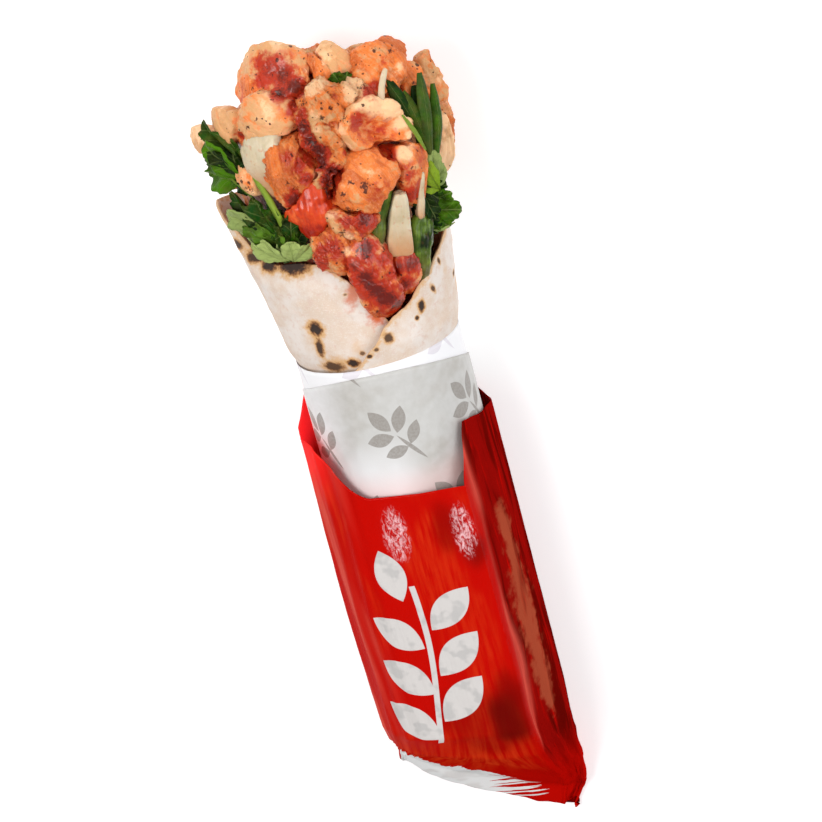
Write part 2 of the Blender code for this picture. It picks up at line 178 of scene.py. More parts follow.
BAG_REDS = {
    "bright": (0.66, 0.038, 0.007),
    "plain": (0.50, 0.003, 0.001),
    "deep": (0.13, 0.002, 0.001),
    "painted_sheen": (0.70, 0.090, 0.062),
    "shaded": (0.27, 0.003, 0.002),
    "brown": (0.38, 0.062, 0.028),
    "inside": (0.95, 0.022, 0.018),
    "gloss_and_painted_highlight": (0.86, 0.52, 0.54),
}
# Painted light: an emission colour that makes the mouth's inner wall shine.
BAG_PAINTED_GLOW = (0.40, 0.010, 0.014)  # daylight through the thin wall at the mouth
SPRIG_FOOT = -35  # the printed sprig's lowest leaves, along the bag in mm
SPRIG_STEP = 16  # from one pair of leaves to the next
SPRIG_SWAY = 0.8  # how far the stem's wave runs on in each step
SPRIG_PHASE = -SPRIG_FOOT * SPRIG_SWAY / SPRIG_STEP
SPRIG_MIDDLE = -5.5  # where the stem stands across the front, in mm
SPRIG_SWING = 3.5  # how far it swings to either side, in mm
BAG_WHITE = (0.62, 0.59, 0.57)
BAG_GHOST = (0.44, 0.43, 0.42)  # where the print is thin
# Painted light: the unprinted band is painted lighter than the printed white, where it turns down and away
# from the lamps.
BAG_BAND_WHITE = (0.80, 0.80, 0.79)
BAG_BAND = 11.0  # width of the white band at the end, in mm


def ease_through(points, at):
    """Value at a place between given points, easing in and out of each."""
    if at <= points[0][0]:
        return points[0][1]
    for (x0, y0), (x1, y1) in zip(points, points[1:]):
        if at <= x1:
            share = (at - x0) / (x1 - x0)
            smooth = 0.5 * share + 0.5 * share * share * (3 - 2 * share)
            return y0 + (y1 - y0) * smooth
    return points[-1][1]


def ramp(low, high, value):
    """0 at low, 1 at high, smooth between, either way round."""
    share = min(1.0, max(0.0, (value - low) / (high - low)))
    return share * share * (3 - 2 * share)


def ridge(value, middle, width):
    """1 on a line, falling to 0 on both sides of it."""
    off = (value - middle) / width
    return math.exp(-off * off)


def rough(x, y, z=0.0):
    """Plain smooth noise between about -1 and 1."""
    return noise.noise(Vector((x, y, z)))


def corner(x, z, radius, first, steps):
    """Points round a quarter circle in the bag's cross-section."""
    angles = [math.radians(first + 90 * step / steps) for step in range(steps + 1)]
    return [(x + radius * math.sin(a), z + radius * math.cos(a)) for a in angles]


def bag_section(left, right, crease, height):
    """The bag's cross-section as (x, z) points, clockwise from the middle of its back."""
    low_left, high_left, low_right = (min(r, height * 0.42) for r in BAG_ROUND)
    drop = BAG_CREASE_DROP * height / BAG_HEIGHT
    spread = BAG_SPREAD * height / BAG_HEIGHT
    return [
        ((left + right) / 2, 0.0),
        *corner(left - spread + low_left, low_left, low_left, 180, 8),
        *corner(left + high_left, height - high_left, high_left, 270, 24),
        ((left + high_left + crease) / 2, height),
        (crease - 3 * drop, height - 0.2 * drop),
        (crease, height - drop),
        (crease + 0.4 * (right - crease), height * 0.8),
        (right - 0.16 * (right - crease), height * 0.64),
        (right, height * 0.5),
        *corner(right - low_right, low_right, low_right, 90, 16),
    ]


def mouth_section():
    """The cross-section at the mouth."""
    return bag_section(*(size * MM for size in BAG_MOUTH))


def bag_rim(x, z):
    """Place along Y of the bag's cut edge."""
    return ease_through(BAG_RIM_LEFT if x < 0 else BAG_RIM_RIGHT, z / MM) * MM


def bag_row(y):
    """Corner points of the section at a place along Y between the mouth's foot and the end."""
    for low, high in zip(BAG_STATIONS, BAG_STATIONS[1:]):
        if y >= high[0] - 1e-6:
            part = (y - low[0]) / (high[0] - low[0])
            mixed = [a + (b - a) * part for a, b in zip(low, high)]
            section = bag_section(*(size * MM for size in mixed[1:5]))
            return [Vector((x, y * MM - mixed[5] * x, z)) for x, z in section]
    raise ValueError("row beyond the closed end")


def bag_columns():
    """For each stretch of the section: how many columns it is cut into."""
    section = mouth_section()
    stretches = zip(section, section[1:] + section[:1])
    return [max(1, round(math.dist(a, b) / BAG_CELL)) for a, b in stretches]


def fill_between(points, counts):
    """The section's corner points with the columns between them."""
    filled = []
    for count, a, b in zip(counts, points, points[1:] + points[:1]):
        filled += [a.lerp(b, step / count) for step in range(count)]
    return filled


def bag_rows():
    """All rows of the sheet from the mouth's cut edge to the folded end."""
    counts = bag_columns()
    rim = fill_between([Vector((x, bag_rim(x, z), z)) for x, z in mouth_section()], counts)
    foot = fill_between(bag_row(0), counts)
    steps = round(BAG_RIM_LEFT[1][1] * MM / BAG_CELL)
    rows = [[a.lerp(b, step / steps) for a, b in zip(rim, foot)] for step in range(steps)]
    end = BAG_STATIONS[-1][0]
    steps = round(-end * MM / BAG_CELL)
    rows += [fill_between(bag_row(end * step / steps), counts) for step in range(steps + 1)]
    last = rows[-1]
    middle = BAG_STATIONS[-1][4] * MM / 2
    for height, further in BAG_END_FOLD:
        pressed = [(v.x, v.y - further * MM, middle + (v.z - middle) * height) for v in last]
        rows.append([Vector(place) for place in pressed])
    return rows


def bag_relief(around, y, place):
    """How far the paper stands out of its plain shape, in mm, from the place round the bag
    (mm from the front's middle, at the mouth) and along it."""
    low_end = ramp(-50, -85, y)
    folds = 0.0
    for number, (at, depth) in enumerate(BAG_FOLDS):
        wander = 2.2 * rough(number * 7.3, y * 0.013)
        strength = 0.6 + 0.6 * rough(number * 3.1, y * 0.03, 4)
        folds += depth * strength * ridge(around, at + wander, 1.5)
    front = 0.45 * rough(around * 0.035, y * 0.022, 5) * ridge(around, 0, 30)
    gusset = ramp(22, 26, around) * ramp(58, 50, around)
    waves = rough(around * 0.10, y * 0.03, 2) + 0.6 * rough(around * 0.22, y * 0.055, 8)
    dent = math.sin(math.pi * min(1.0, max(0.0, (around - 22) / 30)))
    side = gusset * (1.1 * waves - 1.9 * dent * ramp(-15, -55, y))
    lip = 0.5 * ridge(around, 24.5 + 2.0 * rough(y * 0.02, 3), 1.8) * ramp(30, 0, y)
    crumple = (0.5 + 1.2 * low_end) * abs(rough(place.x * 110, place.y * 75, place.z * 110))
    crumple += 0.30 * (0.3 + low_end) * abs(rough(place.x * 330, place.y * 260, place.z * 330))
    pressed = ramp(-30, -60, y)
    outward = folds + front + lip + side - crumple * (0.35 + 0.65 * pressed)
    return max(outward, -BAG_SINK if pressed < 0.01 else -BAG_SINK - 4 * pressed)


def bag_tones(around, y):
    """Shares of the tones at a place of the sheet: bright, deep (painted shade), painted_sheen,
    gloss_and_painted_highlight, shaded (painted shade) and brown (a painted reflection).
    """
    cloud = rough(around * 0.05, y * 0.028, 3) + 0.5 * rough(around * 0.2, y * 0.1, 3)
    bright = ramp(-0.15, 0.45, cloud)
    bright = 0.5 * bright * ramp(24, 18, around) + 0.8 * ridge(y, -62, 9) * ramp(20, 5, around)
    deep = gloss_and_painted_highlight = 0.0
    # Painted shade: dark spots on the front and low down the bag.
    for at_u, at_y, wide, tall, dark in BAG_PAINTED_SHADE_SPOTS:
        off_u = (around - at_u) / wide + 0.35 * rough(around * 0.11, y * 0.09, 6)
        off_y = (y - at_y) / tall + 0.35 * rough(around * 0.12, y * 0.1, 9)
        deep = max(deep, dark * math.exp(-(off_u * off_u + off_y * off_y) ** 2))
    # Glossy places: a coat and crackle, and a painted highlight in the colour.
    for at_u, at_y, wide, tall in BAG_GLOSS_AND_PAINTED_HIGHLIGHT_SPOTS:
        off = ((around - at_u) / wide) ** 2 + ((y - at_y) / tall) ** 2
        gloss_and_painted_highlight = max(gloss_and_painted_highlight, math.exp(-off * off))
    # Painted shine: pinkish streaks down the folds on the left.
    streaks = ramp(-0.12, 0.35, rough(around * 0.24 + 0.02 * y, y * 0.012, 1))
    painted_sheen = ramp(-15, -22, around) * ramp(-74, -58, y) * (0.04 + 0.8 * streaks)
    # Painted highlight: a pale lens along the right crease, where its fold faces the lamps, and a pale strip
    # by the crease near the mouth.
    belly = ridge(y, -34, 24)
    lens = ridge(around, 26 + 1.6 * belly, 0.9 + 1.5 * belly) * ramp(-62, -52, y)
    lens *= 0.35 + 0.65 * ramp(6, -8, y)
    lens = max(lens, 0.75 * ridge(around, 26.5, 1.9) * ramp(22, 34, y))
    painted_sheen = max(painted_sheen, lens)
    # Painted shade over the gusset on the right, turned away from the key lamp.
    shaded = ramp(24, 27, around) * ramp(-88, -60, y)
    # Painted reflection: a brownish streak down the gusset.
    bow = 38.4 - 0.07 * y + 3.0 * rough(y * 0.02, 5)
    bow_width = (1.5 + 6.5 * ridge(y, -18, 36)) * (1 + 0.4 * rough(y * 0.08, 2))
    brown = ridge(around, bow, bow_width)
    brown *= ramp(-62, -46, y) * ramp(34, 18, y) * shaded
    return bright, deep, painted_sheen, gloss_and_painted_highlight, shaded, brown


def new_piece(name, bm, paint, angle=40):
    """The bmesh as a smooth shaded object on the wrap's one body."""
    mesh = bpy.data.meshes.new(name)
    bm.to_mesh(mesh)
    bm.free()
    mesh.shade_smooth()
    mesh.set_sharp_from_angle(angle=math.radians(angle))
    mesh.materials.append(paint)
    made = bpy.data.objects.new(name, mesh)
    bpy.context.scene.collection.objects.link(made)
    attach(made, "root")
    return made


def thicken(piece, thickness):
    """Gives a sheet its thickness, inwards from its outer face."""
    wall = piece.modifiers.new("thickness", "SOLIDIFY")
    wall.thickness = thickness
    wall.offset = -1
    wall.use_even_offset = False
    wall.use_rim = True


class Nodes:
    """Places and joins the nodes of a material or a group. A socket is named by its name, with
    _ for a space, or by _ and its number."""

    def __init__(self, tree):
        self.tree = tree

    def add(self, kind, sets=None, **inputs):
        """A new node with its settings and its inputs."""
        node = self.tree.nodes.new(kind)
        for name, value in (sets or {}).items():
            setattr(node, name, value)
        for name, value in inputs.items():
            socket = int(name[1:]) if name[0] == "_" else name.replace("_", " ")
            self.feed(node.inputs[socket], value)
        return node

    def feed(self, socket, value):
        """Joins a node or a node's output to a socket, or sets the socket's own value."""
        if isinstance(value, bpy.types.NodeSocket):
            self.tree.links.new(value, socket)
        elif isinstance(value, bpy.types.Node):
            self.tree.links.new(value.outputs[0], socket)
        elif isinstance(value, tuple) and len(value) == 3 and socket.type == "RGBA":
            socket.default_value = (*value, 1)
        else:
            socket.default_value = value

    def math(self, operation, a, b=0.0, c=0.0):
        """The result of one sum on numbers."""
        return self.add("ShaderNodeMath", {"operation": operation}, _0=a, _1=b, _2=c).outputs[0]

    def vector(self, operation, a, b=(0.0, 0.0, 0.0)):
        """The result of one sum on vectors."""
        node = self.add("ShaderNodeVectorMath", {"operation": operation}, _0=a, _1=b)
        return node.outputs["Value" if operation == "LENGTH" else "Vector"]

    def scaled(self, vector, scale):
        """The vector times another, part by part."""
        return self.vector("MULTIPLY", vector, scale)

    def turned(self, vector, angle):
        """The vector turned about Z."""
        sets = {"rotation_type": "Z_AXIS"}
        return self.add("ShaderNodeVectorRotate", sets, Vector=vector, Angle=angle).outputs[0]

    def parts(self, vector):
        """The vector's X, Y and Z."""
        return self.add("ShaderNodeSeparateXYZ", None, Vector=vector).outputs

    def shares(self, colour):
        """The colour's red, green and blue."""
        return self.add("ShaderNodeSeparateColor", None, Color=colour).outputs

    def sheet(self):
        """The piece's own flat coordinates in mm."""
        flat = self.add("ShaderNodeUVMap", {"uv_map": "sheet"}).outputs[0]
        return self.scaled(flat, (SHEET_SCALE, SHEET_SCALE, 0))

    def noise(self, vector, scale, detail=3.0, roughness=0.55, distortion=0.0):
        """Smooth noise between 0 and 1."""
        finer = {"Detail": detail, "Roughness": roughness, "Distortion": distortion}
        return self.add("ShaderNodeTexNoise", None, Vector=vector, Scale=scale, **finer).outputs[0]

    def ramp(self, value, low, high, to_low=0.0, to_high=1.0):
        """to_low at low, to_high at high, smooth between, either way round."""
        sets = {"interpolation_type": "SMOOTHSTEP"}
        ends = {"From_Min": low, "From_Max": high, "To_Min": to_low, "To_Max": to_high}
        return self.add("ShaderNodeMapRange", sets, Value=value, **ends).outputs["Result"]

    def spread(self, noise, low, high):
        """A noise, which lies mostly between 0.3 and 0.7, spread between two values."""
        return self.ramp(noise, 0.3, 0.7, low, high)

    def blend(self, share, first, second):
        """The first colour at 0, the second at 1."""
        return self.add("ShaderNodeMix", {"data_type": "RGBA"}, _0=share, _6=first, _7=second).outputs[2]

    def attribute(self, name, output="Fac"):
        """What the mesh holds under a name."""
        return self.add("ShaderNodeAttribute", {"attribute_name": name}).outputs[output]

    def bump(self, height, distance, strength):
        """The normal of a surface raised by a height."""
        node = self.add("ShaderNodeBump", None, Height=height, Distance=distance, Strength=strength)
        return node.outputs["Normal"]

    def dress(self, shader, **inputs):
        """Feeds or sets the shader's own sockets."""
        for name, value in inputs.items():
            self.feed(shader.inputs[name.replace("_", " ")], value)


def new_paint(name):
    """A material with its nodes, shader and object coordinates in mm."""
    paint = bpy.data.materials.new(name)
    paint.use_nodes = True
    nodes = Nodes(paint.node_tree)
    shader = paint.node_tree.nodes["Principled BSDF"]
    place = nodes.scaled(nodes.add("ShaderNodeTexCoord").outputs["Object"], (1 / MM,) * 3)
    return paint, nodes, shader, place


def new_group(name, vectors, numbers, result):
    """A node group with inputs of both kinds and one result: the group, its nodes, what it is
    given, and the socket of its result."""
    group = bpy.data.node_groups.new(name, "ShaderNodeTree")
    for kind, sockets in (("NodeSocketVector", vectors), ("NodeSocketFloat", numbers)):
        for socket in sockets:
            group.interface.new_socket(socket, in_out="INPUT", socket_type=kind)
    group.interface.new_socket(result, in_out="OUTPUT", socket_type="NodeSocketFloat")
    given = group.nodes.new("NodeGroupInput").outputs
    return group, Nodes(group), given, group.nodes.new("NodeGroupOutput").inputs[result]


def leaf_shape_group():
    """Node group: mask of one pointed oval, from a place on a sheet in mm."""
    vectors, numbers = ("Place", "Centre"), ("Turn", "Length", "Fatness")
    group, nodes, given, mask = new_group("leaf_shape", vectors, numbers, "Mask")
    moved = nodes.vector("SUBTRACT", given["Place"], given["Centre"])
    parts = nodes.parts(nodes.turned(moved, given["Turn"]))
    half = nodes.math("MULTIPLY", given["Length"], 0.5)
    along = nodes.math("DIVIDE", parts["Y"], half)
    width = nodes.math("MULTIPLY", half, given["Fatness"])
    across = nodes.math("DIVIDE", nodes.math("ABSOLUTE", parts["X"]), width)
    taper = nodes.math("SUBTRACT", 1.0, nodes.math("MULTIPLY", along, along))
    nodes.feed(mask, nodes.ramp(nodes.math("SUBTRACT", taper, across), -0.02, 0.02))
    return group


leaf_shape = leaf_shape_group()


def printed_leaves(nodes, place, leaves):
    """Mask of a spray of leaves: each is centre across, centre along, turn in degrees, length,
    fatness."""
    mask = 0.0
    for across, along, turn, length, fatness in leaves:
        shape = {"Turn": math.radians(-turn), "Length": length, "Fatness": fatness}
        centre = (across, along, 0)
        leaf = nodes.add("ShaderNodeGroup", {"node_tree": leaf_shape}, Place=place, Centre=centre, **shape)
        mask = nodes.math("MAXIMUM", mask, leaf.outputs["Mask"])
    return mask


def red_with_painted_light(nodes, sheet, streak, gloss_and_painted_highlight):
    """The paper's red: streaked, with painted shade in the gusset and in dark spots, and with a painted
    reflection, painted shine, painted light and painted highlights in places.
    """
    bright, deep, painted_sheen = nodes.shares(nodes.attribute("tones", "Color"))
    shaded = nodes.attribute("shaded")
    mottle = nodes.noise(sheet, 0.22, 5.0, 0.6)
    lengthwise = nodes.noise(nodes.scaled(sheet, (0.16, 0.022, 0)), 1.0, 3.0, 0.5, 0.6)
    red = nodes.blend(nodes.ramp(streak, 0.35, 0.65), BAG_REDS["plain"], BAG_REDS["bright"])
    red = nodes.blend(bright, BAG_REDS["plain"], red)
    # Painted shade over the gusset, with lighter streaks in it.
    gusset = nodes.blend(nodes.ramp(lengthwise, 0.42, 0.56), BAG_REDS["deep"], BAG_REDS["shaded"])
    gusset = nodes.blend(nodes.ramp(streak, 0.54, 0.72), gusset, BAG_REDS["plain"])
    red = nodes.blend(shaded, red, gusset)
    # Painted reflection: the brownish streak down the gusset.
    painted_brown_reflection = nodes.math("ADD", nodes.attribute("brown"), nodes.spread(mottle, -0.25, 0.25))
    painted_brown_reflection = nodes.ramp(painted_brown_reflection, 0.3, 0.85)
    painted_brown_reflection = nodes.math("MULTIPLY", painted_brown_reflection, nodes.ramp(lengthwise, 0.36, 0.5, 0.35, 1.0))
    red = nodes.blend(painted_brown_reflection, red, BAG_REDS["brown"])
    # Painted shade of the dark spots.
    red = nodes.blend(deep, red, BAG_REDS["deep"])
    # Painted shine on the left folds and painted highlight along the crease.
    red = nodes.blend(nodes.math("MULTIPLY", painted_sheen, nodes.spread(streak, 0.6, 1.0)), red, BAG_REDS["painted_sheen"])
    across, along, _ = nodes.parts(sheet)
    # Painted light: the inner wall on the left by the mouth is painted bright red, though it lies in shade,
    # for the light the thin paper lets through.
    inner = nodes.math("MULTIPLY", nodes.ramp(along, 34, 58), nodes.ramp(across, -16, -28))
    red = nodes.blend(inner, red, BAG_REDS["inside"])
    # Painted highlight: pale crinkled patches on the glossy places.
    creased = nodes.noise(nodes.scaled(sheet, (0.8, 0.32, 0)), 1.0, 5.0, 0.7, 1.2)
    torn = nodes.ramp(nodes.math("MULTIPLY", gloss_and_painted_highlight, nodes.spread(creased, 0.15, 1.0)), 0.25, 0.85)
    return nodes.blend(nodes.math("MULTIPLY", torn, 0.9), red, BAG_REDS["gloss_and_painted_highlight"])


def printed_sprig(nodes, sheet, across, along):
    """Mask of the sprig on the bag's front: a swaying stem with pairs of leaves and one on top."""
    spray = [(-8.5, 14.5, 12, 19, 0.5)]
    for pair in range(3):
        stem_x = SPRIG_MIDDLE + SPRIG_SWING * math.sin(SPRIG_SWAY * pair)
        for side in (-1, 1):
            foot_y = SPRIG_FOOT + SPRIG_STEP * pair + 3.0 * side
            spray.append((stem_x + side * 9.0, foot_y, -side * 48, 21.0 - 1.0 * pair, 0.52))
    leaves = printed_leaves(nodes, sheet, spray)
    wave = nodes.math("MULTIPLY_ADD", along, SPRIG_SWAY / SPRIG_STEP, SPRIG_PHASE)
    middle = nodes.math("MULTIPLY_ADD", nodes.math("SINE", wave), SPRIG_SWING, SPRIG_MIDDLE)
    off_stem = nodes.math("ABSOLUTE", nodes.math("SUBTRACT", across, middle))
    stem = nodes.math("MULTIPLY", nodes.ramp(off_stem, 1.0, 0.85), nodes.ramp(along, -47, -46.8))
    stem = nodes.math("MULTIPLY", stem, nodes.ramp(along, 10, 9.8))
    return nodes.math("MAXIMUM", leaves, stem)


def white_band(nodes, sheet, across):
    """Mask of the unprinted band along the closed end, with its ragged edges."""
    jag = nodes.noise(nodes.scaled(sheet, (0.25, 0.25, 0)), 1.0, 2.0)
    edge = nodes.spread(jag, BAG_BAND - 1.5, BAG_BAND + 1.5)
    edge = nodes.math("ADD", edge, nodes.spread(nodes.noise(sheet, 1.2, 2.0), -0.6, 0.6))
    edge = nodes.math("ADD", edge, nodes.ramp(across, 16, -14, 1.0, 11.0))
    band = nodes.math("LESS_THAN", nodes.attribute("from_end"), edge)
    right_jag = nodes.noise(nodes.scaled(sheet, (0.15, 1.2, 0)), 1.0, 2.0)
    band = nodes.math("MULTIPLY", band, nodes.math("LESS_THAN", across, nodes.spread(right_jag, 6.5, 12.5)))
    return nodes.math("MULTIPLY", band, nodes.math("GREATER_THAN", across, -30.0))


def red_paper():
    """Red greaseproof paper with a white sprig printed on its front."""
    paint, nodes, shader, place = new_paint("red_greaseproof")
    sheet = nodes.sheet()
    across, along, _ = nodes.parts(sheet)
    gloss_and_painted_highlight = nodes.attribute("tones", "Alpha")
    streak = nodes.noise(nodes.scaled(sheet, (0.55, 0.05, 0)), 1.0, 4.0, 0.6)
    ghost = nodes.ramp(nodes.noise(sheet, 0.16, 2.0), 0.5, 0.62, 0.0, 0.6)
    print_tone = nodes.blend(ghost, BAG_WHITE, BAG_GHOST)
    band_tone = nodes.blend(ghost, BAG_BAND_WHITE, BAG_WHITE)
    sprig = printed_sprig(nodes, sheet, across, along)
    colour = nodes.blend(sprig, red_with_painted_light(nodes, sheet, streak, gloss_and_painted_highlight), print_tone)
    # Painted light: emission on the left of the mouth's inner wall, as if daylight came through.
    painted_glow = nodes.math("MULTIPLY", nodes.ramp(along, 46, 58), nodes.ramp(across, -26, -33))
    crackle = nodes.add("ShaderNodeTexVoronoi", {"feature": "DISTANCE_TO_EDGE"}, Vector=place, Scale=0.5)
    fine = nodes.math("MULTIPLY", nodes.ramp(crackle.outputs["Distance"], 0.0, 0.12), gloss_and_painted_highlight)
    soft = nodes.noise(nodes.scaled(sheet, (0.30, 0.05, 0)), 1.0, 3.0, 0.5)
    height = nodes.math("ADD", nodes.math("MULTIPLY", fine, 0.6), nodes.math("MULTIPLY", soft, 2.2))
    height = nodes.math("ADD", height, nodes.math("MULTIPLY", nodes.noise(place, 0.35, 3.0), 0.6))
    unshaded = nodes.math("SUBTRACT", 1.0, nodes.attribute("shaded"))
    flat_part = nodes.math("MULTIPLY", nodes.ramp(along, -58, -40), unshaded)
    nodes.dress(
        shader,
        Base_Color=nodes.blend(white_band(nodes, sheet, across), colour, band_tone),
        Roughness=nodes.spread(nodes.noise(place, 0.3, 4.0), 0.2, 0.36),
        Normal=nodes.bump(height, 0.4 * MM, 0.7),
        Coat_Weight=nodes.math("MULTIPLY", flat_part, nodes.math("MULTIPLY_ADD", gloss_and_painted_highlight, 0.4, 0.1)),
        Coat_Roughness=0.16,
        Coat_IOR=1.35,
        Specular_IOR_Level=0.0,
        Emission_Color=nodes.blend(painted_glow, (0, 0, 0), BAG_PAINTED_GLOW),
        Emission_Strength=1.0,
    )
    return paint


def places_round_bag():
    """Each column's place round the bag, in mm from the front's middle."""
    mouth = fill_between([Vector((x, 0, z)) for x, z in mouth_section()], bag_columns())
    run = [0.0]
    for a, b in zip(mouth, mouth[1:] + mouth[:1]):
        run.append(run[-1] + (b - a).length / MM)
    upper = [column for column, place in enumerate(mouth) if place.z > BAG_HEIGHT / 2]
    front = min(upper, key=lambda column: abs(mouth[column].x))
    return [place - run[front] for place in run]


def make_bag():
    """The loft from the cut edge to the folded end, with its folds and its tones."""
    rows = bag_rows()
    columns = len(rows[0])
    places = places_round_bag()
    bm = bmesh.new()
    bmesh.ops.create_grid(bm, x_segments=columns, y_segments=len(rows) - 1, size=0.5)
    sheet = bm.loops.layers.uv.new("sheet")
    tones = bm.verts.layers.float_color.new("tones")
    shaded = bm.verts.layers.float.new("shaded")
    brown = bm.verts.layers.float.new("brown")
    from_end = bm.verts.layers.float.new("from_end")
    around = {}
    for vertex in bm.verts:
        column = round((vertex.co.x + 0.5) * columns)
        row = len(rows) - 1 - round((vertex.co.y + 0.5) * (len(rows) - 1))
        vertex.co = rows[row][column % columns]
        around[vertex] = places[column]
        *four_tones, vertex[shaded], vertex[brown] = bag_tones(around[vertex], vertex.co.y / MM)
        vertex[tones] = four_tones
        vertex[from_end] = (vertex.co - rows[-1][column % columns]).length / MM
        near_end = ramp(BAG_END_PULL, 4, vertex[from_end])
        vertex.co.y -= ease_through(BAG_END_REACH, vertex.co.x / MM) * MM * near_end
        vertex.co.x -= 1.6 * MM * near_end * ramp(0, -20, vertex.co.x / MM)
    for face in bm.faces:
        for loop in face.loops:
            loop[sheet].uv = (around[loop.vert] / SHEET_SCALE, loop.vert.co.y / MM / SHEET_SCALE)
    bmesh.ops.remove_doubles(bm, verts=bm.verts, dist=1e-7)
    ends = [e for e in bm.edges if e.is_boundary and e.verts[0].co.y < BAG_STATIONS[-1][0] * MM / 2]
    bmesh.ops.holes_fill(bm, edges=ends)
    bmesh.ops.recalc_face_normals(bm, faces=bm.faces)
    bm.normal_update()
    joined = [vertex for vertex in around if vertex.is_valid]
    reliefs = [bag_relief(around[vertex], vertex.co.y / MM, vertex.co) * MM for vertex in joined]
    for vertex, relief in zip(joined, reliefs):
        vertex.co += vertex.normal * relief
        vertex.co.z = max(vertex.co.z, 0.02 * MM)
    bag = new_piece("red_bag", bm, red_paper(), angle=50)
    thicken(bag, BAG_PAPER)
    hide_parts("paper_bag")


make_bag()


# ---------------------------------------------------------------- the paper sleeve
# A sheet of thin white greaseproof paper wound twice round the roll. Grey sprigs are printed
# on it. The outer turn stops lower down, so a strip of the inner turn shows above it.

ROLL_AXIS_Z = 28.5 * MM
SLEEVE_RADIUS = 27.5 * MM
SLEEVE_SHEET = 0.16 * MM
SLEEVE_PITCH = 0.5 * MM  # how far it winds inwards in one turn
SLEEVE_BOTTOM = -42 * MM
SLEEVE_TOP = 83.5 * MM
SLEEVE_CUTS = (360, 84)  # faces round the roll and along it
SLEEVE_TURNS = (-200, 520)  # degrees from the front, from the outer edge to the inner one
OUTER_TURN_LOW = 72.5 * MM
OUTER_TURN_HUMP = 8.7 * MM
OUTER_TURN_ENDS = 150  # degrees from the front
OUTER_TURN_FADE = 60  # degrees over which its edge rises to the inner turn's
SLEEVE_WHITES = {"outer": (0.53, 0.523, 0.50), "warm": (0.46, 0.44, 0.405), "inner": (0.86, 0.855, 0.87)}
SLEEVE_BLUSH = (0.85, 0.56, 0.54)  # where the red bag shines on it
SLEEVE_GREY = (0.27, 0.245, 0.22)
SLEEVE_LILAC = (0.70, 0.66, 0.71)
PRINT_REPEAT = (30.0, 28.0)  # from one sprig to the next, round the roll and along it


def on_roll(degrees, radius, y):
    """Point on the roll: the angle runs from the front (+Z) towards +X."""
    angle = math.radians(degrees)
    return Vector((radius * math.sin(angle), y, ROLL_AXIS_Z + radius * math.cos(angle)))


def rolled_sheet(turns, cuts, place_at, unrolled_radius, value):
    """Sheet rolled round the axis and cut into faces round it and along it, with its flat
    coordinates as a UV map and one value for each vertex. With it goes each vertex's angle and
    its share of the way up to the rim."""
    bm = bmesh.new()
    bmesh.ops.create_grid(bm, x_segments=cuts[0], y_segments=cuts[1], size=0.5)
    sheet = bm.loops.layers.uv.new("sheet")
    bm.verts.layers.float.new(value)
    bm.verts.layers.deform.verify()
    spots = {}
    for vertex in bm.verts:
        turn = turns[0] + (turns[1] - turns[0]) * (vertex.co.x + 0.5)
        share = vertex.co.y + 0.5
        spots[vertex] = (turn, share)
        vertex.co = place_at(turn, share)
    for face in bm.faces:
        for loop in face.loops:
            across = unrolled_radius * math.radians(spots[loop.vert][0])
            loop[sheet].uv = (across / MM / SHEET_SCALE, loop.vert.co.y / MM / SHEET_SCALE)
    bmesh.ops.recalc_face_normals(bm, faces=bm.faces)
    middle = next(v for v in bm.verts if v.co.z > ROLL_AXIS_Z and not v.is_boundary)
    middle.normal_update()
    if middle.normal.dot(middle.co - Vector((0, middle.co.y, ROLL_AXIS_Z))) < 0:
        bmesh.ops.reverse_faces(bm, faces=bm.faces)
    return bm, spots


def sleeve_rim(turn):
    """Place along Y of the sleeve's upper edge."""
    if turn > OUTER_TURN_ENDS + OUTER_TURN_FADE:
        return SLEEVE_TOP
    hump = OUTER_TURN_LOW + OUTER_TURN_HUMP * math.cos(math.radians(turn - 5))
    return hump + (SLEEVE_TOP - hump) * max(0.0, (turn - OUTER_TURN_ENDS) / OUTER_TURN_FADE)


def on_sleeve(turn, share):
    """Point of the sleeve. Both turns share the same slow waves, so they never cross."""
    y = SLEEVE_BOTTOM + (sleeve_rim(turn) - SLEEVE_BOTTOM) * share
    c, s = math.cos(math.radians(turn)), math.sin(math.radians(turn))
    wave = rough(2.2 * c, 2.2 * s, y / MM * 0.045)
    crease = ridge(rough(3 * c, 3 * s, y / MM * 0.012), 0, 0.05)
    radius = SLEEVE_RADIUS - SLEEVE_SHEET / 2 - SLEEVE_PITCH * (turn - SLEEVE_TURNS[0]) / 360
    radius += (0.16 * wave + 0.14 * crease - 0.12) * MM
    y += 0.25 * MM * rough(turn * 0.03, 4) * share
    return on_roll(turn, radius, y)


def printed_repeat(nodes, across, along):
    """Mask of small slanting sprigs that repeat round the roll and along it."""
    repeat_x, repeat_y = PRINT_REPEAT
    row = nodes.math("FLOOR", nodes.math("DIVIDE", nodes.math("ADD", along, repeat_y / 2 - 60), repeat_y))
    shifted = nodes.math("ADD", across, nodes.math("MULTIPLY", row, repeat_x / 2))
    tile_x = nodes.math("WRAP", nodes.math("SUBTRACT", shifted, 5.0), repeat_x / 2, -repeat_x / 2)
    tile_y = nodes.math("WRAP", nodes.math("SUBTRACT", along, 60.0), repeat_y / 2, -repeat_y / 2)
    tile = nodes.add("ShaderNodeCombineXYZ", None, X=tile_x, Y=tile_y)
    sprig = [(0, 7.4, 0, 9.5, 0.5), (0, -6.0, 0, 13.0, 0.10)]
    for side in (-1, 1):
        sprig += [(4.6 * side, 3.2, -58 * side, 9.0, 0.5), (4.2 * side, -3.2, -66 * side, 8.0, 0.5)]
    return printed_leaves(nodes, nodes.turned(tile, math.radians(-38)), sprig)


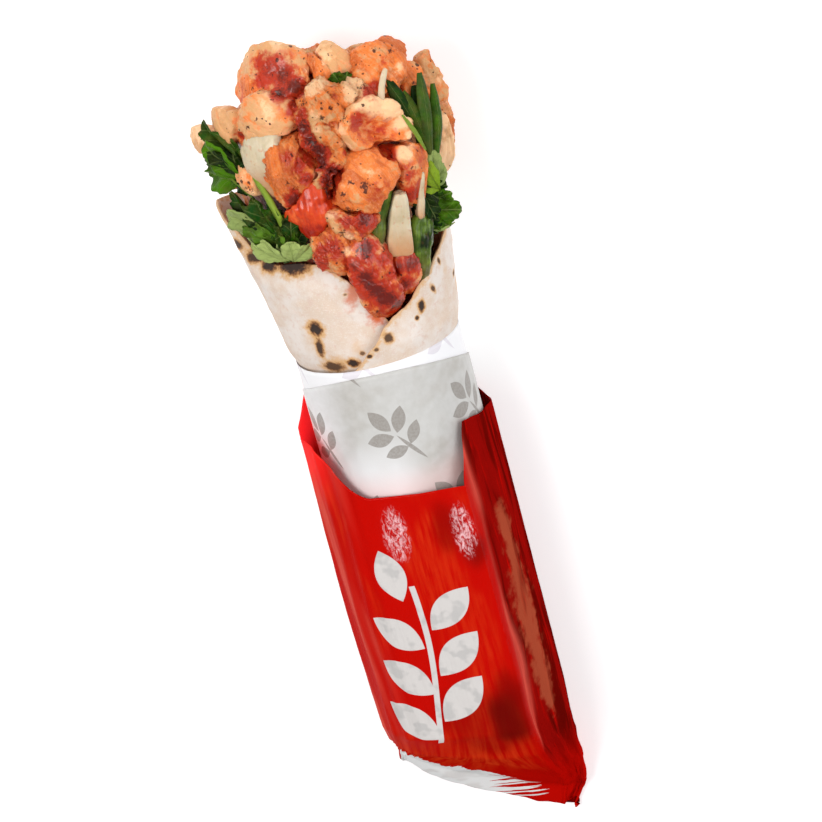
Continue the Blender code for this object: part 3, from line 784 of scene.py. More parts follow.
def white_paper():
    """White greaseproof paper with grey sprigs; what lies under it shows through a little. Painted light
    makes it lighter on the left and near the bag's mouth, and painted red light from the bag tinges it there.
    """
    paint, nodes, shader, place = new_paint("white_greaseproof")
    across, along, _ = nodes.parts(nodes.sheet())
    under = nodes.ramp(nodes.noise(place, 0.045, 3.0, 0.6), 0.42, 0.62)
    white = nodes.blend(under, SLEEVE_WHITES["outer"], SLEEVE_WHITES["warm"])
    cloudy_and_painted_light = nodes.spread(nodes.noise(place, 0.35, 4.0), 0.0, 0.12)
    # Painted light: lighter towards the left, where the key lamp is, and low down near the bag's mouth; the
    # rest is the paper's random cloudiness.
    cloudy_and_painted_light = nodes.math("ADD", cloudy_and_painted_light, nodes.ramp(nodes.parts(place)["X"], -6, -20, 0.0, 0.6))
    low = nodes.math("MULTIPLY", nodes.ramp(along, 66, 46), nodes.ramp(across, 16, 0))
    cloudy_and_painted_light = nodes.math("MAXIMUM", cloudy_and_painted_light, nodes.math("MULTIPLY", low, 0.7))
    white = nodes.blend(cloudy_and_painted_light, white, SLEEVE_WHITES["inner"])
    white = nodes.blend(nodes.ramp(along, 51, 42, 0.0, 0.4), white, SLEEVE_BLUSH)
    printed = printed_repeat(nodes, across, along)
    ink_wear = nodes.spread(nodes.noise(place, 1.4, 3.0), 0.72, 0.9)
    outer = nodes.blend(nodes.math("MULTIPLY", printed, ink_wear), white, SLEEVE_GREY)
    lilac = nodes.blend(nodes.math("MULTIPLY", printed, 0.8), SLEEVE_WHITES["inner"], SLEEVE_LILAC)
    height = nodes.math("ADD", nodes.noise(place, 0.25, 4.0), nodes.noise(place, 2.5, 3.0))
    nodes.dress(
        shader,
        Base_Color=nodes.blend(nodes.attribute("inner"), outer, lilac),
        Roughness=nodes.spread(nodes.noise(place, 0.4, 3.0), 0.42, 0.58),
        Normal=nodes.bump(height, 0.1 * MM, 0.5),
        Specular_IOR_Level=0.35,
    )
    return paint


def make_sleeve():
    """The sheet in its two turns, marked where it's the inner one."""
    bm, spots = rolled_sheet(SLEEVE_TURNS, SLEEVE_CUTS, on_sleeve, SLEEVE_RADIUS, "inner")
    inner = bm.verts.layers.float["inner"]
    for vertex, (turn, _) in spots.items():
        vertex[inner] = 1.0 if turn > OUTER_TURN_ENDS + 30 else 0.0
    sleeve = new_piece("white_sleeve", bm, white_paper())
    thicken(sleeve, SLEEVE_SHEET)
    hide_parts("paper_sleeve")


make_sleeve()


# ---------------------------------------------------------------- the flatbread
# A thin round of soft flatbread, rolled up from one side. Its rim crosses over itself as a V
# in front. It is floury, with blisters and scorch marks from the griddle, and its edge is thin
# and golden. Sauce has soaked in where the V holds the filling.

BREAD_RADIUS = 25.9 * MM
BREAD_THICK = 2.0 * MM
BREAD_PITCH = 2.35 * MM  # how far it winds inwards in one turn
BREAD_BOTTOM = -40.5 * MM
BREAD_FLARE_FROM = 84 * MM
BREAD_FLARE_TO = 136 * MM
# The rim, by the place round the roll in degrees from the front: place along the roll in mm
BREAD_RIM = (
    (-70, 30), (-40, 60), (-4, 84), (10, 90), (22, 96), (36, 99.5), (52, 105.5), (70, 111.5),
    (90, 119), (120, 127), (180, 131), (240, 136), (268, 138), (285, 131), (300, 121.5),
    (315, 119.5), (334, 119.5), (350, 118.5), (364, 113), (378, 102), (390, 93), (400, 84),
    (425, 60), (450, 30),
)  # fmt: skip
# How far the rim stands out from the roll, in the same way, in mm
BREAD_FLARE = (
    (-90, 10.5), (-50, 7), (0, 2.0), (50, 5.5), (90, 8.5), (140, 1), (180, -2), (225, 1), (270, 10.5)
)  # fmt: skip
BREAD_SWELL = 2.0 * MM  # above the paper
BREAD_FOLD = 2.6  # how far the rim on the left leans in over the leaves, in mm
BREAD_SHEET_RADIUS = 25 * MM  # the middle of its turns, by which its flat coordinates go
BREAD_CUTS = (420, 120)  # faces round the roll and along it
BREAD_TONES = {
    "crumb": (0.71, 0.57, 0.46),
    "flour": (0.78, 0.70, 0.64),
    "rose": (0.70, 0.52, 0.43),
    "golden": (0.68, 0.39, 0.16),
    "brown": (0.30, 0.13, 0.05),
    "black": (0.045, 0.028, 0.022),
    "sauce": (0.62, 0.13, 0.045),
}
# Scorch marks on the unrolled sheet: place round the roll and along it, width, length (mm),
# turn in degrees and how black the middle is
BREAD_SCORCHES = (
    (142.5, 119.3, 10.5, 5.8, 8, 1.0), (134.4, 119.5, 5.5, 4.2, 0, 1.0), (129.5, 122, 5, 4, 0, 0.9),
    (124.0, 125.5, 5, 3.4, 0, 0.9), (119, 128.5, 4, 3, 0, 0.8), (145.5, 121.0, 4, 2.6, 0, 0.8),
    (144.9, 98.2, 5.0, 4.8, 0, 1.0), (143.9, 91.6, 2.8, 6.4, 12, 0.9),
    (146.2, 84.6, 8, 3.6, 0, 0.8), (153.6, 85.4, 4.0, 2.8, 0, 1.0), (157.6, 88.2, 1.6, 1.4, 0, 0.6),
    (157.6, 108.2, 1.2, 1.0, 0, 0.5), (9.3, 92.0, 2.6, 3.4, -20, 0.8), (5.3, 89.5, 1.4, 1.4, 0, 0.7),
    (2.9, 87.8, 1.6, 1.4, 0, 0.9), (20.7, 98.0, 2.2, 3.6, 10, 1.0), (18.7, 94.8, 1.2, 1.5, 0, 0.9),
    (25.8, 101.5, 1.3, 3.0, -25, 0.8), (30.2, 108.4, 1.1, 2.6, -20, 0.8), (37.2, 101.0, 1.4, 2.2, 0, 0.9),
    (60.0, 112.0, 4.4, 3.0, 20, 0.9), (74.0, 98.0, 3.6, 4.0, 0, 0.9), (82.0, 116.0, 3.0, 2.4, 0, 0.9),
    (92.0, 102.0, 4.8, 3.2, 30, 0.8), (103.0, 121.0, 3.6, 3.0, 0, 0.9), (112.0, 96.0, 3.0, 4.4, 0, 0.9),
    (118.0, 112.0, 2.4, 2.4, 0, 0.7),
)  # fmt: skip
# Golden patches, and the stain of sauce at the V, in the same way
BREAD_GOLDEN = (
    (143.0, 94.5, 6.5, 9.0, 0, 0.55), (148.5, 86.5, 11.0, 5.5, 0, 0.7), (156.5, 90.0, 4.5, 6.0, 20, 0.4),
    (40.0, 96.5, 3.0, 5.5, -10, 0.6), (33.0, 104.0, 3.0, 3.0, 0, 0.3), (139.0, 119.5, 11.0, 4.5, 5, 0.6),
    (9.0, 92.0, 3.6, 3.6, 0, 0.35), (70.0, 104.0, 9.0, 7.0, 0, 0.4), (98.0, 112.0, 12.0, 8.0, 10, 0.4),
    (52.0, 96.0, 5.0, 12.0, 0, 0.8), (130.0, 123.0, 16.0, 4.0, 12, 0.6), (168.0, 104.0, 5.0, 16.0, 30, 0.5),
)  # fmt: skip
BREAD_STAINS = (
    (160.5, 109.0, 5.0, 14.0, 28, 0.75), (166.0, 100.0, 7.5, 10.0, 30, 1.0), (156.0, 117.5, 6.0, 5.0, 0, 0.5),
)  # fmt: skip


def bread_rim(turn):
    """Place along Y of the bread's rim."""
    return ease_through(BREAD_RIM, turn) * MM


def bread_middle(turn, y):
    """Radius of the middle of the bread's thickness. It winds inwards from the outer edge."""
    turns = (turn - BREAD_RIM[0][0]) / 360
    share = max(0.0, (y - BREAD_FLARE_FROM) / (BREAD_FLARE_TO - BREAD_FLARE_FROM))
    flare = ease_through(BREAD_FLARE, (turn + 90) % 360 - 90) * MM * share**1.2
    swell = ramp(64, 80, y / MM) * BREAD_PITCH * turns * ramp(332, 284, turn)
    swell += BREAD_SWELL * ramp(79, 91, y / MM)
    return BREAD_RADIUS - BREAD_THICK / 2 - BREAD_PITCH * turns + flare + swell


def bread_relief(turn, y):
    """How far the bread swells out, in mm: slow waves, blisters and a wavy rim."""
    angle = math.radians(turn)
    c, s = math.cos(angle), math.sin(angle)
    slow = 0.35 * rough(2.0 * c, 2.0 * s, y * 0.035)
    blister = max(0.0, rough(5 * c, 5 * s, y * 0.16 + 7)) ** 1.5 * 0.9
    blister += max(0.0, rough(11 * c, 11 * s, y * 0.4 + 3)) ** 1.5 * 0.35
    open_part = ramp(84, 92, y)
    below_rim = ease_through(BREAD_RIM, turn) - y
    frill = 0.5 * math.sin(7 * angle + 0.7) + 0.6 * rough(3.5 * c, 3.5 * s, 9)
    folded = ramp(8, 0, below_rim) * ramp(276, 298, turn) * ramp(366, 346, turn)
    flat = (slow + blister - 0.2) * (0.25 + 0.75 * open_part)
    return flat + 0.9 * frill * ramp(16, 0, below_rim) * open_part - BREAD_FOLD * folded


def on_bread(turn, share):
    """Point of the bread; its rows lie closer together towards the rim."""
    rim = bread_rim(turn) + (0.7 * rough(turn * 0.06, 2) + 0.35 * rough(turn * 0.2, 6)) * MM
    y = BREAD_BOTTOM + (rim - BREAD_BOTTOM) * (1 - (1 - share) ** 1.7)
    radius = bread_middle(turn, y) + BREAD_THICK * 0.4
    return on_roll(turn, radius + bread_relief(turn, y / MM) * MM, y)


def scorch_group():
    """Node group: one mark on a sheet, 1 in its middle, falling to 0 at twice its size."""
    vectors = ("Place", "Centre", "Size")
    group, nodes, given, near = new_group("scorch", vectors, ("Turn",), "Nearness")
    moved = nodes.vector("SUBTRACT", given["Place"], given["Centre"])
    shares = nodes.vector("DIVIDE", nodes.turned(moved, given["Turn"]), given["Size"])
    ragged = nodes.noise(given["Place"], 0.55, 4.0, 0.65)
    reach = nodes.math("ADD", nodes.vector("LENGTH", shares), nodes.math("MULTIPLY_ADD", ragged, 1.5, -0.75))
    nodes.feed(near, nodes.math("SUBTRACT", 1.0, nodes.math("MULTIPLY", reach, 0.5)))
    return group


scorch = scorch_group()


def marks(nodes, place, rows, low, high):
    """Mask of many marks on a sheet, each from low to high nearness times its strength."""
    mask = 0.0
    for across, along, wide, tall, turn, strength in rows:
        shape = {"Centre": (across, along, 0), "Size": (wide / 2, tall / 2, 1), "Turn": math.radians(turn)}
        mark = nodes.add("ShaderNodeGroup", {"node_tree": scorch}, Place=place, **shape)
        mask = nodes.math("MAXIMUM", mask, nodes.ramp(mark.outputs[0], low, high, 0.0, strength))
    return mask


def flatbread_crust():
    """Soft pale bread: floury, mottled, golden at the edge and scorched in places."""
    paint, nodes, shader, place = new_paint("flatbread_crust")
    sheet = nodes.sheet()
    slow = nodes.noise(place, 0.09, 4.0, 0.6)
    mottle = nodes.noise(place, 0.45, 5.0, 0.65)
    grain = nodes.noise(place, 2.2, 3.0, 0.6)
    bread = nodes.blend(nodes.ramp(slow, 0.38, 0.62), BREAD_TONES["crumb"], BREAD_TONES["flour"])
    bread = nodes.blend(nodes.ramp(mottle, 0.5, 0.72, 0.0, 0.8), bread, BREAD_TONES["rose"])
    bread = nodes.blend(nodes.ramp(grain, 0.52, 0.68, 0.0, 0.7), bread, BREAD_TONES["flour"])
    edge = nodes.math("ADD", nodes.attribute("from_rim"), nodes.spread(mottle, 1.0, -1.0))
    edge = nodes.ramp(edge, 2.2, 0.3, 0.0, 0.75)
    golden = nodes.math("MAXIMUM", edge, marks(nodes, sheet, BREAD_GOLDEN, 0.35, 0.95))
    bread = nodes.blend(golden, bread, BREAD_TONES["golden"])
    bread = nodes.blend(marks(nodes, sheet, BREAD_STAINS, 0.35, 0.85), bread, BREAD_TONES["sauce"])
    for low, high, tone in ((0.08, 0.5, "golden"), (0.4, 0.58, "brown"), (0.52, 0.72, "black")):
        ring = marks(nodes, sheet, BREAD_SCORCHES, low, high)
        bread = nodes.blend(ring, bread, BREAD_TONES[tone])
    height = nodes.math("ADD", nodes.noise(place, 0.8, 5.0, 0.6), nodes.math("MULTIPLY", grain, 0.5))
    nodes.dress(
        shader,
        Base_Color=bread,
        Roughness=nodes.spread(mottle, 0.7, 0.9),
        Normal=nodes.bump(height, 0.3 * MM, 0.6),
        Specular_IOR_Level=0.25,
    )
    return paint


def make_bread():
    """The rolled round, thinner towards its rim."""
    turns = (BREAD_RIM[0][0], BREAD_RIM[-1][0])
    bm, spots = rolled_sheet(turns, BREAD_CUTS, on_bread, BREAD_SHEET_RADIUS, "from_rim")
    from_rim = bm.verts.layers.float["from_rim"]
    thin = bm.verts.layers.deform.active
    for vertex, (turn, _) in spots.items():
        below = (bread_rim(turn) - vertex.co.y) / MM
        vertex[from_rim] = below
        vertex[thin][0] = 0.3 + 0.7 * math.sqrt(min(1.0, max(0.0, below) / 3.5))
    bread = new_piece("flatbread_roll", bm, flatbread_crust(), angle=60)
    bread.vertex_groups.new(name="thin")
    thicken(bread, BREAD_THICK * 0.85)
    bread.modifiers["thickness"].vertex_group = "thin"
    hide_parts("flatbread")


make_bread()


# ---------------------------------------------------------------- the imported filling
# The meat that is packed into the roll and carries the slices. Only the gaps between them
# show it: moist and shredded, and dark, partly as painted shade for the gaps.

CORE_CELL = 0.9 * MM  # size of its faces
CORE_TONES = {
    "dark": (0.075, 0.014, 0.007),
    "red": (0.22, 0.028, 0.010),
    "meat": (0.42, 0.14, 0.05),
    "brown": (0.40, 0.085, 0.018),
    "roast": (0.74, 0.27, 0.075),
}


def remeshed(bm, size):
    """The same solid with small even faces."""
    mesh = bpy.data.meshes.new("rough")
    bm.to_mesh(mesh)
    bm.free()
    holder = bpy.data.objects.new("rough", mesh)
    bpy.context.scene.collection.objects.link(holder)
    cells = holder.modifiers.new("cells", "REMESH")
    cells.mode = "VOXEL"
    cells.voxel_size = size
    fine = bmesh.new()
    fine.from_object(holder, bpy.context.evaluated_depsgraph_get())
    bpy.data.objects.remove(holder)
    bpy.data.meshes.remove(mesh)
    return fine


def solid_of(node):
    """A node's CAD solid with its loose triangles joined."""
    bm = bmesh.new()
    bm.from_mesh(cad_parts[node].data)
    bmesh.ops.remove_doubles(bm, verts=bm.verts, dist=1e-6)
    return bm


def filling_paint():
    """Moist shreds, dark on top where the gaps show them, partly as painted shade, and roasted brown towards
    the under side.
    """
    paint, nodes, shader, place = new_paint("packed_meat")
    shreds = nodes.noise(nodes.scaled(place, (0.5, 0.18, 0.5)), 1.0, 4.0, 0.6)
    tone = nodes.blend(nodes.ramp(shreds, 0.35, 0.55), CORE_TONES["dark"], CORE_TONES["red"])
    tone = nodes.blend(nodes.ramp(nodes.noise(place, 0.35, 4.0), 0.55, 0.68), tone, CORE_TONES["meat"])
    roast = nodes.blend(nodes.ramp(shreds, 0.36, 0.56), CORE_TONES["brown"], CORE_TONES["roast"])
    roast = nodes.blend(nodes.ramp(nodes.noise(place, 0.22, 4.0), 0.52, 0.66), roast, CORE_TONES["red"])
    # The dark on top is partly painted shade: only the gaps between the slices show it.
    nodes.dress(
        shader,
        Base_Color=nodes.blend(nodes.ramp(nodes.parts(place)["Z"], 42, 32), tone, roast),
        Roughness=nodes.spread(shreds, 0.25, 0.5),
        Normal=nodes.bump(nodes.noise(place, 0.9, 5.0), 0.6 * MM, 0.9),
    )
    return paint


def make_filling():
    """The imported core, shredded on top and lumpy below."""
    bm = remeshed(solid_of("filling_core"), CORE_CELL)
    bm.normal_update()
    for vertex in bm.verts:
        x, y, z = vertex.co / MM
        relief = 0.5 * rough(x * 0.3, y * 0.12, z * 0.3) + 0.35 * rough(x * 0.7, y * 0.3, z * 0.7 + 5)
        lumps = ramp(-0.1, 0.15, rough(x * 0.13, y * 0.1, z * 0.13 + 8))
        lumps -= ridge(rough(x * 0.1, y * 0.08, z * 0.1), 0, 0.06)
        vertex.co += vertex.normal * (relief - 0.1 + 1.3 * lumps * ramp(40, 30, z)) * MM
        vertex.co.z = max(vertex.co.z, 0.2 * MM)
    filling = new_piece("packed_filling", bm, filling_paint(), angle=180)
    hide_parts("filling_core")


make_filling()


# ---------------------------------------------------------------- the chicken slices
# Thin slices shaved off a spit: moist and fibrous, pale inside, orange-brown outside from the
# spice rub, with scorched edges, pepper specks and red sauce in the hollows.

MEAT_CELL = 0.5 * MM  # size of a slice's faces
SLAB_FACE = 0.68  # share of the ball, from its pole, that becomes the slice's flat face
SPOT_END = 5  # a spot has faded out where the square of the distance, in its radii, is this
MEAT_TONES = {
    "tan": (0.68, 0.345, 0.145),
    "orange": (0.84, 0.195, 0.026),
    "brown": (0.52, 0.095, 0.014),
    "pale": (0.95, 0.58, 0.315),
    "rose": (0.88, 0.43, 0.24),
    "sauce": (0.46, 0.023, 0.005),
    "deep": (0.13, 0.004, 0.003),
    "char": (0.055, 0.011, 0.007),
}
# Each slice: its middle in mm, how its face leans from +Z towards +X and nods towards +Y in
# degrees, its thickness, how far its ends and its sides bend up in mm, and its outline as
# radii in mm, every 30 degrees clockwise from the far end. Then its look: how orange, saucy,
# scorched and pale it is over all, how coarse, and how its fibres turn, in degrees.
SLICES = {
    "crown_left": ((-7.5, 176.5, 41.5), (-30, 25), 8, (-2, -3),
        (10.5, 11.5, 13.5, 12.5, 13, 10.5, 9, 11, 14.5, 13, 11.5, 11), (0.15, 0.05, 0.1, 0.05, 0.1, 10)),
    "crown_strip_left": ((3, 176.5, 44.5), (5, 30), 5, (-1, 0),
        (5.5, 3.5, 2.5, 2.5, 3, 4.5, 4, 4, 2.5, 2.5, 3, 5.5), (0.55, 0, 0.1, 0.35, 0.35, 0)),
    "crown_strip_right": ((7.5, 176.5, 42), (20, 35), 5, (-1, 0),
        (5.5, 3, 2.5, 2.5, 4, 7, 5.5, 3.5, 2.5, 2.5, 3.5, 7), (0.7, 0.05, 0.1, 0.25, 0.35, -20)),
    "crown_pale": ((12.5, 176, 38.5), (25, 38), 6, (-1, -1),
        (7.5, 5, 4.5, 4.5, 5.5, 7.5, 7, 5.5, 4.5, 4.5, 5, 7), (0.1, 0, 0.1, 0.35, 0.06, 20)),
    "crown_right": ((25.5, 171.5, 38), (38, 28), 8, (-2, -2),
        (7.5, 9.5, 11.5, 8.5, 7.5, 8.5, 10, 9.5, 10, 9.5, 9, 9), (0.75, 0, 0.25, 0.1, 0.3, 15)),
    "crown_back": ((32, 164, 32.5), (45, 20), 7, (-1, 0),
        (6.5, 6.5, 5.5, 4.5, 4.5, 4.5, 6.5, 7.5, 6, 4, 4, 4.5), (0.6, 0, 0.2, 0.1, 0.15, 0)),
    "strand_high": ((36.5, 161.5, 24.5), (45, 10), 6, (1, 0),
        (9, 4.5, 4, 3.5, 3.5, 6.5, 7.5, 6.5, 4.5, 3.5, 4, 5), (0.55, 0, 0.1, 0.3, 0.35, 0)),
    "strand_low": ((36, 143, 27.5), (50, -4), 6, (-1, 0),
        (10.5, 6, 3.5, 3, 3, 5, 12, 9.5, 4, 3, 3, 4.5), (0.1, 0, 0.15, 0.95, 0.1, 0)),
    "left_fold": ((-12, 165.5, 50), (-28, 12), 8, (-2, -3.5),
        (9.5, 10.5, 12, 13, 8, 5, 4.5, 7.5, 15, 10, 7, 7), (0.2, 0, 0.1, 0.3, 0.08, 55)),
    "left_small": ((-23, 166, 44.5), (-42, 15), 6, (-1, -1),
        (5, 5, 6.5, 6.5, 6, 7, 6.5, 5, 5, 7, 7.5, 6), (0.2, 0.05, 0.1, 0, 0.08, 30)),
    "left_tip": ((-33, 160.5, 37), (-42, 10), 5, (-1, -1),
        (4.5, 4.5, 6, 9, 6.5, 5, 4.5, 5.5, 6, 8, 7, 5), (0.1, 0, 0.05, 0.7, 0.06, 0)),
    "centre_top": ((8, 163.5, 51.5), (8, 14), 10, (-2, -2),
        (11.5, 11.5, 12.5, 8.5, 7.5, 10, 12, 12, 10, 10, 10, 10), (0.6, 0, 0.4, 0.2, 0.75, 20)),
    "centre_fibre": ((18.5, 167.5, 46), (30, 25), 6, (-1, 0),
        (4, 3.5, 3, 3.5, 4.5, 4.5, 4, 3.5, 3.5, 3.5, 4.5, 5), (0.2, 0.05, 0.2, 0.6, 0.7, 0)),
    "centre_low": ((6, 148, 54), (5, 0), 10, (-1, -1),
        (7.5, 8.5, 8, 4.5, 3.5, 4, 6.5, 10, 6.5, 4.5, 4.5, 5.5), (0.65, 0.1, 0.5, 0.1, 0.85, 30)),
    "curl": ((22.5, 157, 48.5), (40, 8), 8, (0, 0.5),
        (8.5, 7.5, 8, 8, 11, 9, 6.5, 6.5, 10, 12.5, 12.5, 10.5), (0.55, 0, 0.05, 0.2, 0.08, 60)),
    "chunk_left": ((-5.5, 150.5, 54), (-10, 0), 10, (-2, -2.5),
        (10.5, 9.5, 8.5, 8.5, 8.5, 7.5, 10.5, 11.5, 8, 8, 7, 9), (0.75, 0.1, 0.3, 0.15, 0.5, 10)),
    "chunk_big": ((15.5, 143, 54), (18, 0), 12, (-2.5, -3),
        (10, 12, 10, 11, 8.5, 9, 10.5, 10, 12, 10, 8.5, 8.5), (0.8, 0, 0.1, 0.15, 0.16, 25)),
    "right_sauced": ((27, 141, 45.5), (45, -2), 8, (-1, -2),
        (9, 8, 8.5, 6.5, 6, 7.5, 12, 8, 6, 5, 5.5, 11), (0.75, 0.22, 0.1, 0, 0.15, 0)),
    "left_crumb": ((-19.5, 149, 50.5), (-35, 0), 5, (-1, -1),
        (4.5, 4, 4, 3.5, 4, 6, 5, 3.5, 3, 3, 5, 6), (0.3, 0, 0.1, 0.5, 0.2, 0)),
}  # fmt: skip
SAUCED_SLICES = {
    "saucy_middle": ((9.5, 132, 55.5), (8, -6), 10, (-1, -2),
        (4, 4, 6.5, 8, 7.5, 6.5, 5.5, 5.5, 6, 7, 8.5, 6.5), (0.7, 0.35, 0.3, 0.1, 0.45, 0)),
    "saucy_low": ((1.5, 124, 54), (0, -12), 10, (-1.5, -2),
        (8.5, 8, 7.5, 7, 7, 8.5, 9, 7.5, 7, 7.5, 8, 8.5), (0.7, 0.3, 0.2, 0.1, 0.5, 20)),
    "saucy_long": ((10.5, 112.5, 53), (14, -12), 10, (-2, -2.5),
        (15.5, 11, 7.5, 7, 8.5, 14, 16, 10.5, 8, 7.5, 9, 12.5), (0.65, 0.45, 0.2, 0.1, 0.2, 0)),
    "saucy_nub": ((19, 110.5, 48), (36, -12), 7, (-1, -1),
        (7.5, 6.5, 5, 4.5, 5, 6, 9, 6, 4, 4, 4.5, 7.5), (0.8, 0.4, 0.1, 0, 0.12, 0)),
}  # fmt: skip
# The slices on the under side and at the end, which keep the outline of their CAD solids:
# their looks, in the same order
UNDER_SLICES = {
    "right_low": (0.5, 0.1, 0.3, 0.3, 0.5, 0),
    "right_under": (0.6, 0.1, 0.4, 0.2, 0.5, 20),
    "left_under": (0.5, 0.0, 0.3, 0.3, 0.4, 0),
    "left_low": (0.4, 0.0, 0.2, 0.4, 0.4, 15),
    "end_under": (0.6, 0.1, 0.4, 0.2, 0.6, 0),
    "end_left": (0.5, 0.1, 0.3, 0.3, 0.4, 0),
    "end_middle": (0.6, 0.2, 0.4, 0.2, 0.6, 10),
    "end_outer": (0.4, 0.0, 0.3, 0.4, 0.4, 0),
}
SAUCED_UNDER_SLICES = {
    "middle_under": (0.6, 0.6, 0.4, 0.1, 0.6, 0),
    "end_right": (0.6, 0.6, 0.4, 0.1, 0.6, 0),
    "end_inner": (0.6, 0.65, 0.4, 0.1, 0.6, 0),
}
# Places of one kind on the slices, in mm: pools of sauce (the dark ones count more than 1),
# scorched spice, and pale flesh, each with its radius and its strength
SAUCE_SPOTS = (
    (-6, 180, 46, 4.6, 1.15), (-2, 178, 47, 4.4, 1.45), (1, 174, 49, 3.2, 1.8), (-9, 178, 46, 3.0, 0.8),
    (-3, 173, 49, 3.2, 1.5), (-3, 182, 46, 2.4, 0.6), (3, 176, 47, 1.4, 0.5), (0, 169, 52, 2.4, 1.3),
    (3, 167, 57, 2.2, 1.2), (2, 163, 57, 2.8, 1.8), (3, 159, 58, 3.0, 1.6), (5, 155, 59, 3.0, 2.2),
    (5, 152, 60, 2.6, 2.2), (10, 162, 58, 2.2, 0.55), (14, 170, 52, 2.2, 0.45), (8, 148, 59, 2.6, 2.0),
    (6, 146, 58, 2.6, 1.8), (4, 141, 58, 2.4, 1.3), (13, 153, 57, 1.2, 1.0), (19, 161, 53, 3.0, 1.1),
    (22, 157, 50, 2.8, 0.8), (25, 155, 48, 2.4, 0.7), (20, 156, 51, 2.2, 0.5), (28, 174, 42, 1.8, 0.5),
    (24, 168, 48, 2.4, 1.0), (32, 163, 42, 1.6, 0.7), (39, 161, 36, 2.2, 0.8), (-3, 156, 59, 2.4, 0.75),
    (-1, 153, 60, 2.8, 0.9), (0, 148, 60, 2.2, 1.2), (-6, 142, 58, 2.6, 1.9), (24, 149, 50, 2.2, 1.1),
    (24, 147, 52, 1.6, 1.4), (28, 134, 50, 2.6, 1.0), (14, 132, 59, 2.8, 1.3), (9, 133, 62, 2.2, 0.8),
    (2, 125, 60, 2.6, 0.8), (-1, 125, 60, 2.2, 1.0), (11, 121, 60, 3.2, 0.9), (7, 118.5, 60, 3.0, 1.15),
    (9.5, 114, 60, 3.4, 1.35), (11.5, 109, 59, 3.4, 1.35), (14, 104.5, 57, 3.2, 1.4), (16, 101, 55, 2.6, 1.3),
    (10, 111, 59, 2.0, 2.1), (12.3, 105.2, 57, 1.8, 2.1), (16, 118, 57, 2.4, 0.8),
    (21, 157, 50, 4.6, 0.6), (25, 154.5, 48, 4.0, 0.6), (22, 152, 49, 3.0, 0.45), (12, 123, 59, 2.4, 1.5),
    (29, 141, 51, 3.4, 0.5), (28, 135, 50, 3.6, 0.7), (21, 141, 60, 3.0, 0.55), (19.5, 138.5, 60, 2.6, 0.5),
    (23, 113, 51, 3.0, 1.2), (-3, 121, 59, 2.6, 0.9), (22, 167, 47, 2.4, 1.1),
    (19, 113, 52, 2.6, 1.0), (19, 107, 51, 2.4, 1.1), (-19, 163, 52, 1.8, 1.4), (-21, 159, 50, 2.2, 0.8),
    (-18, 172, 46, 1.8, 0.8), (-17, 168, 48, 1.6, 0.7),
)  # fmt: skip
CHAR_SPOTS = (
    (4, 170, 56, 1.4, 1.0), (3, 165, 57, 1.6, 1.0), (4, 158, 59, 2.6, 1.0), (5, 154, 60, 2.4, 0.8),
    (12, 167, 57, 0.9, 1.2), (15, 163, 57, 0.9, 1.2), (9, 165, 58, 0.9, 1.2), (9, 172, 56, 0.9, 1.2),
    (17, 143, 61, 1.7, 1.3), (17, 141, 62, 1.0, 1.3), (10, 142, 62, 1.3, 1.1), (13, 145, 62, 1.1, 1.1),
    (22, 149, 56, 0.9, 1.1), (26, 142, 53, 1.0, 1.0), (26, 139, 50, 1.4, 1.0), (5, 143, 58, 2.6, 1.0),
    (10, 136, 60, 1.7, 1.1), (10, 123, 59, 1.9, 1.0), (12, 125, 58, 1.2, 0.9), (26, 178, 42, 1.0, 1.3),
    (30, 176, 39, 0.9, 1.2), (32, 166, 41, 0.9, 1.1),
    (34, 164, 36, 0.9, 1.1), (19, 174, 42, 1.0, 1.1), (21, 169, 47, 1.4, 1.0), (-11, 168, 56, 0.9, 1.1),
    (-15, 166, 55, 1.0, 1.0), (-6, 148, 60, 0.9, 1.0), (-5, 145, 60, 0.9, 1.0), (6, 129, 61, 1.5, 1.0),
    (30, 142, 50, 0.9, 1.0), (-9, 175, 46, 1.8, 0.9), (-5, 173, 49, 2.2, 1.0), (14, 173, 46, 0.9, 1.1),
    (-20, 146.5, 50, 2.0, 1.3),
)  # fmt: skip
PALE_SPOTS = (
    (-3, 186, 44, 3.4, 0.6), (-14, 184, 38, 3.6, 0.5), (12, 178, 42, 3.6, 0.6), (7, 174, 54, 2.8, 1.1),
    (10, 174, 54, 2.4, 1.0), (18, 171, 50, 2.4, 1.1), (18, 168, 53, 2.2, 0.9), (7, 166, 58, 2.2, 0.8),
    (7, 162, 59, 1.8, 0.8), (13, 160, 56, 1.8, 0.8), (14, 155, 54, 2.0, 0.9), (24, 164, 51, 3.2, 1.5),
    (28, 161, 48, 3.0, 1.5), (30, 156, 48, 2.4, 1.4), (32, 151, 46, 2.0, 1.3), (20, 166, 52, 2.2, 1.3),
    (-7, 170, 55, 3.6, 0.6), (29, 147, 49, 2.8, 1.4), (11, 144, 62, 2.2, 0.5), (20, 147, 60, 2.8, 0.35),
    (22, 136, 47, 2.6, 0.9), (5, 136, 61, 1.9, 0.9), (8, 128, 61, 2.0, 1.1), (6, 123, 59, 1.6, 1.1),
    (7, 120, 60, 1.6, 0.9), (17, 122, 54, 2.2, 0.9), (19, 115, 55, 1.6, 0.9), (19, 110, 55, 1.6, 0.9),
    (5, 107, 57, 2.6, 0.7), (3, 148, 58, 1.6, 1.0), (39, 149, 28, 2.2, 1.0), (37, 138, 29, 2.8, 1.0),
    (38, 167, 38, 1.4, 0.8), (31, 171, 40, 2.4, 0.6), (-34, 163, 39, 2.4, 0.8), (-24, 170, 45, 2.0, 0.6),
    (40, 161, 25, 1.6, 0.5), (-8, 152, 58, 2.0, 0.3),
)  # fmt: skip
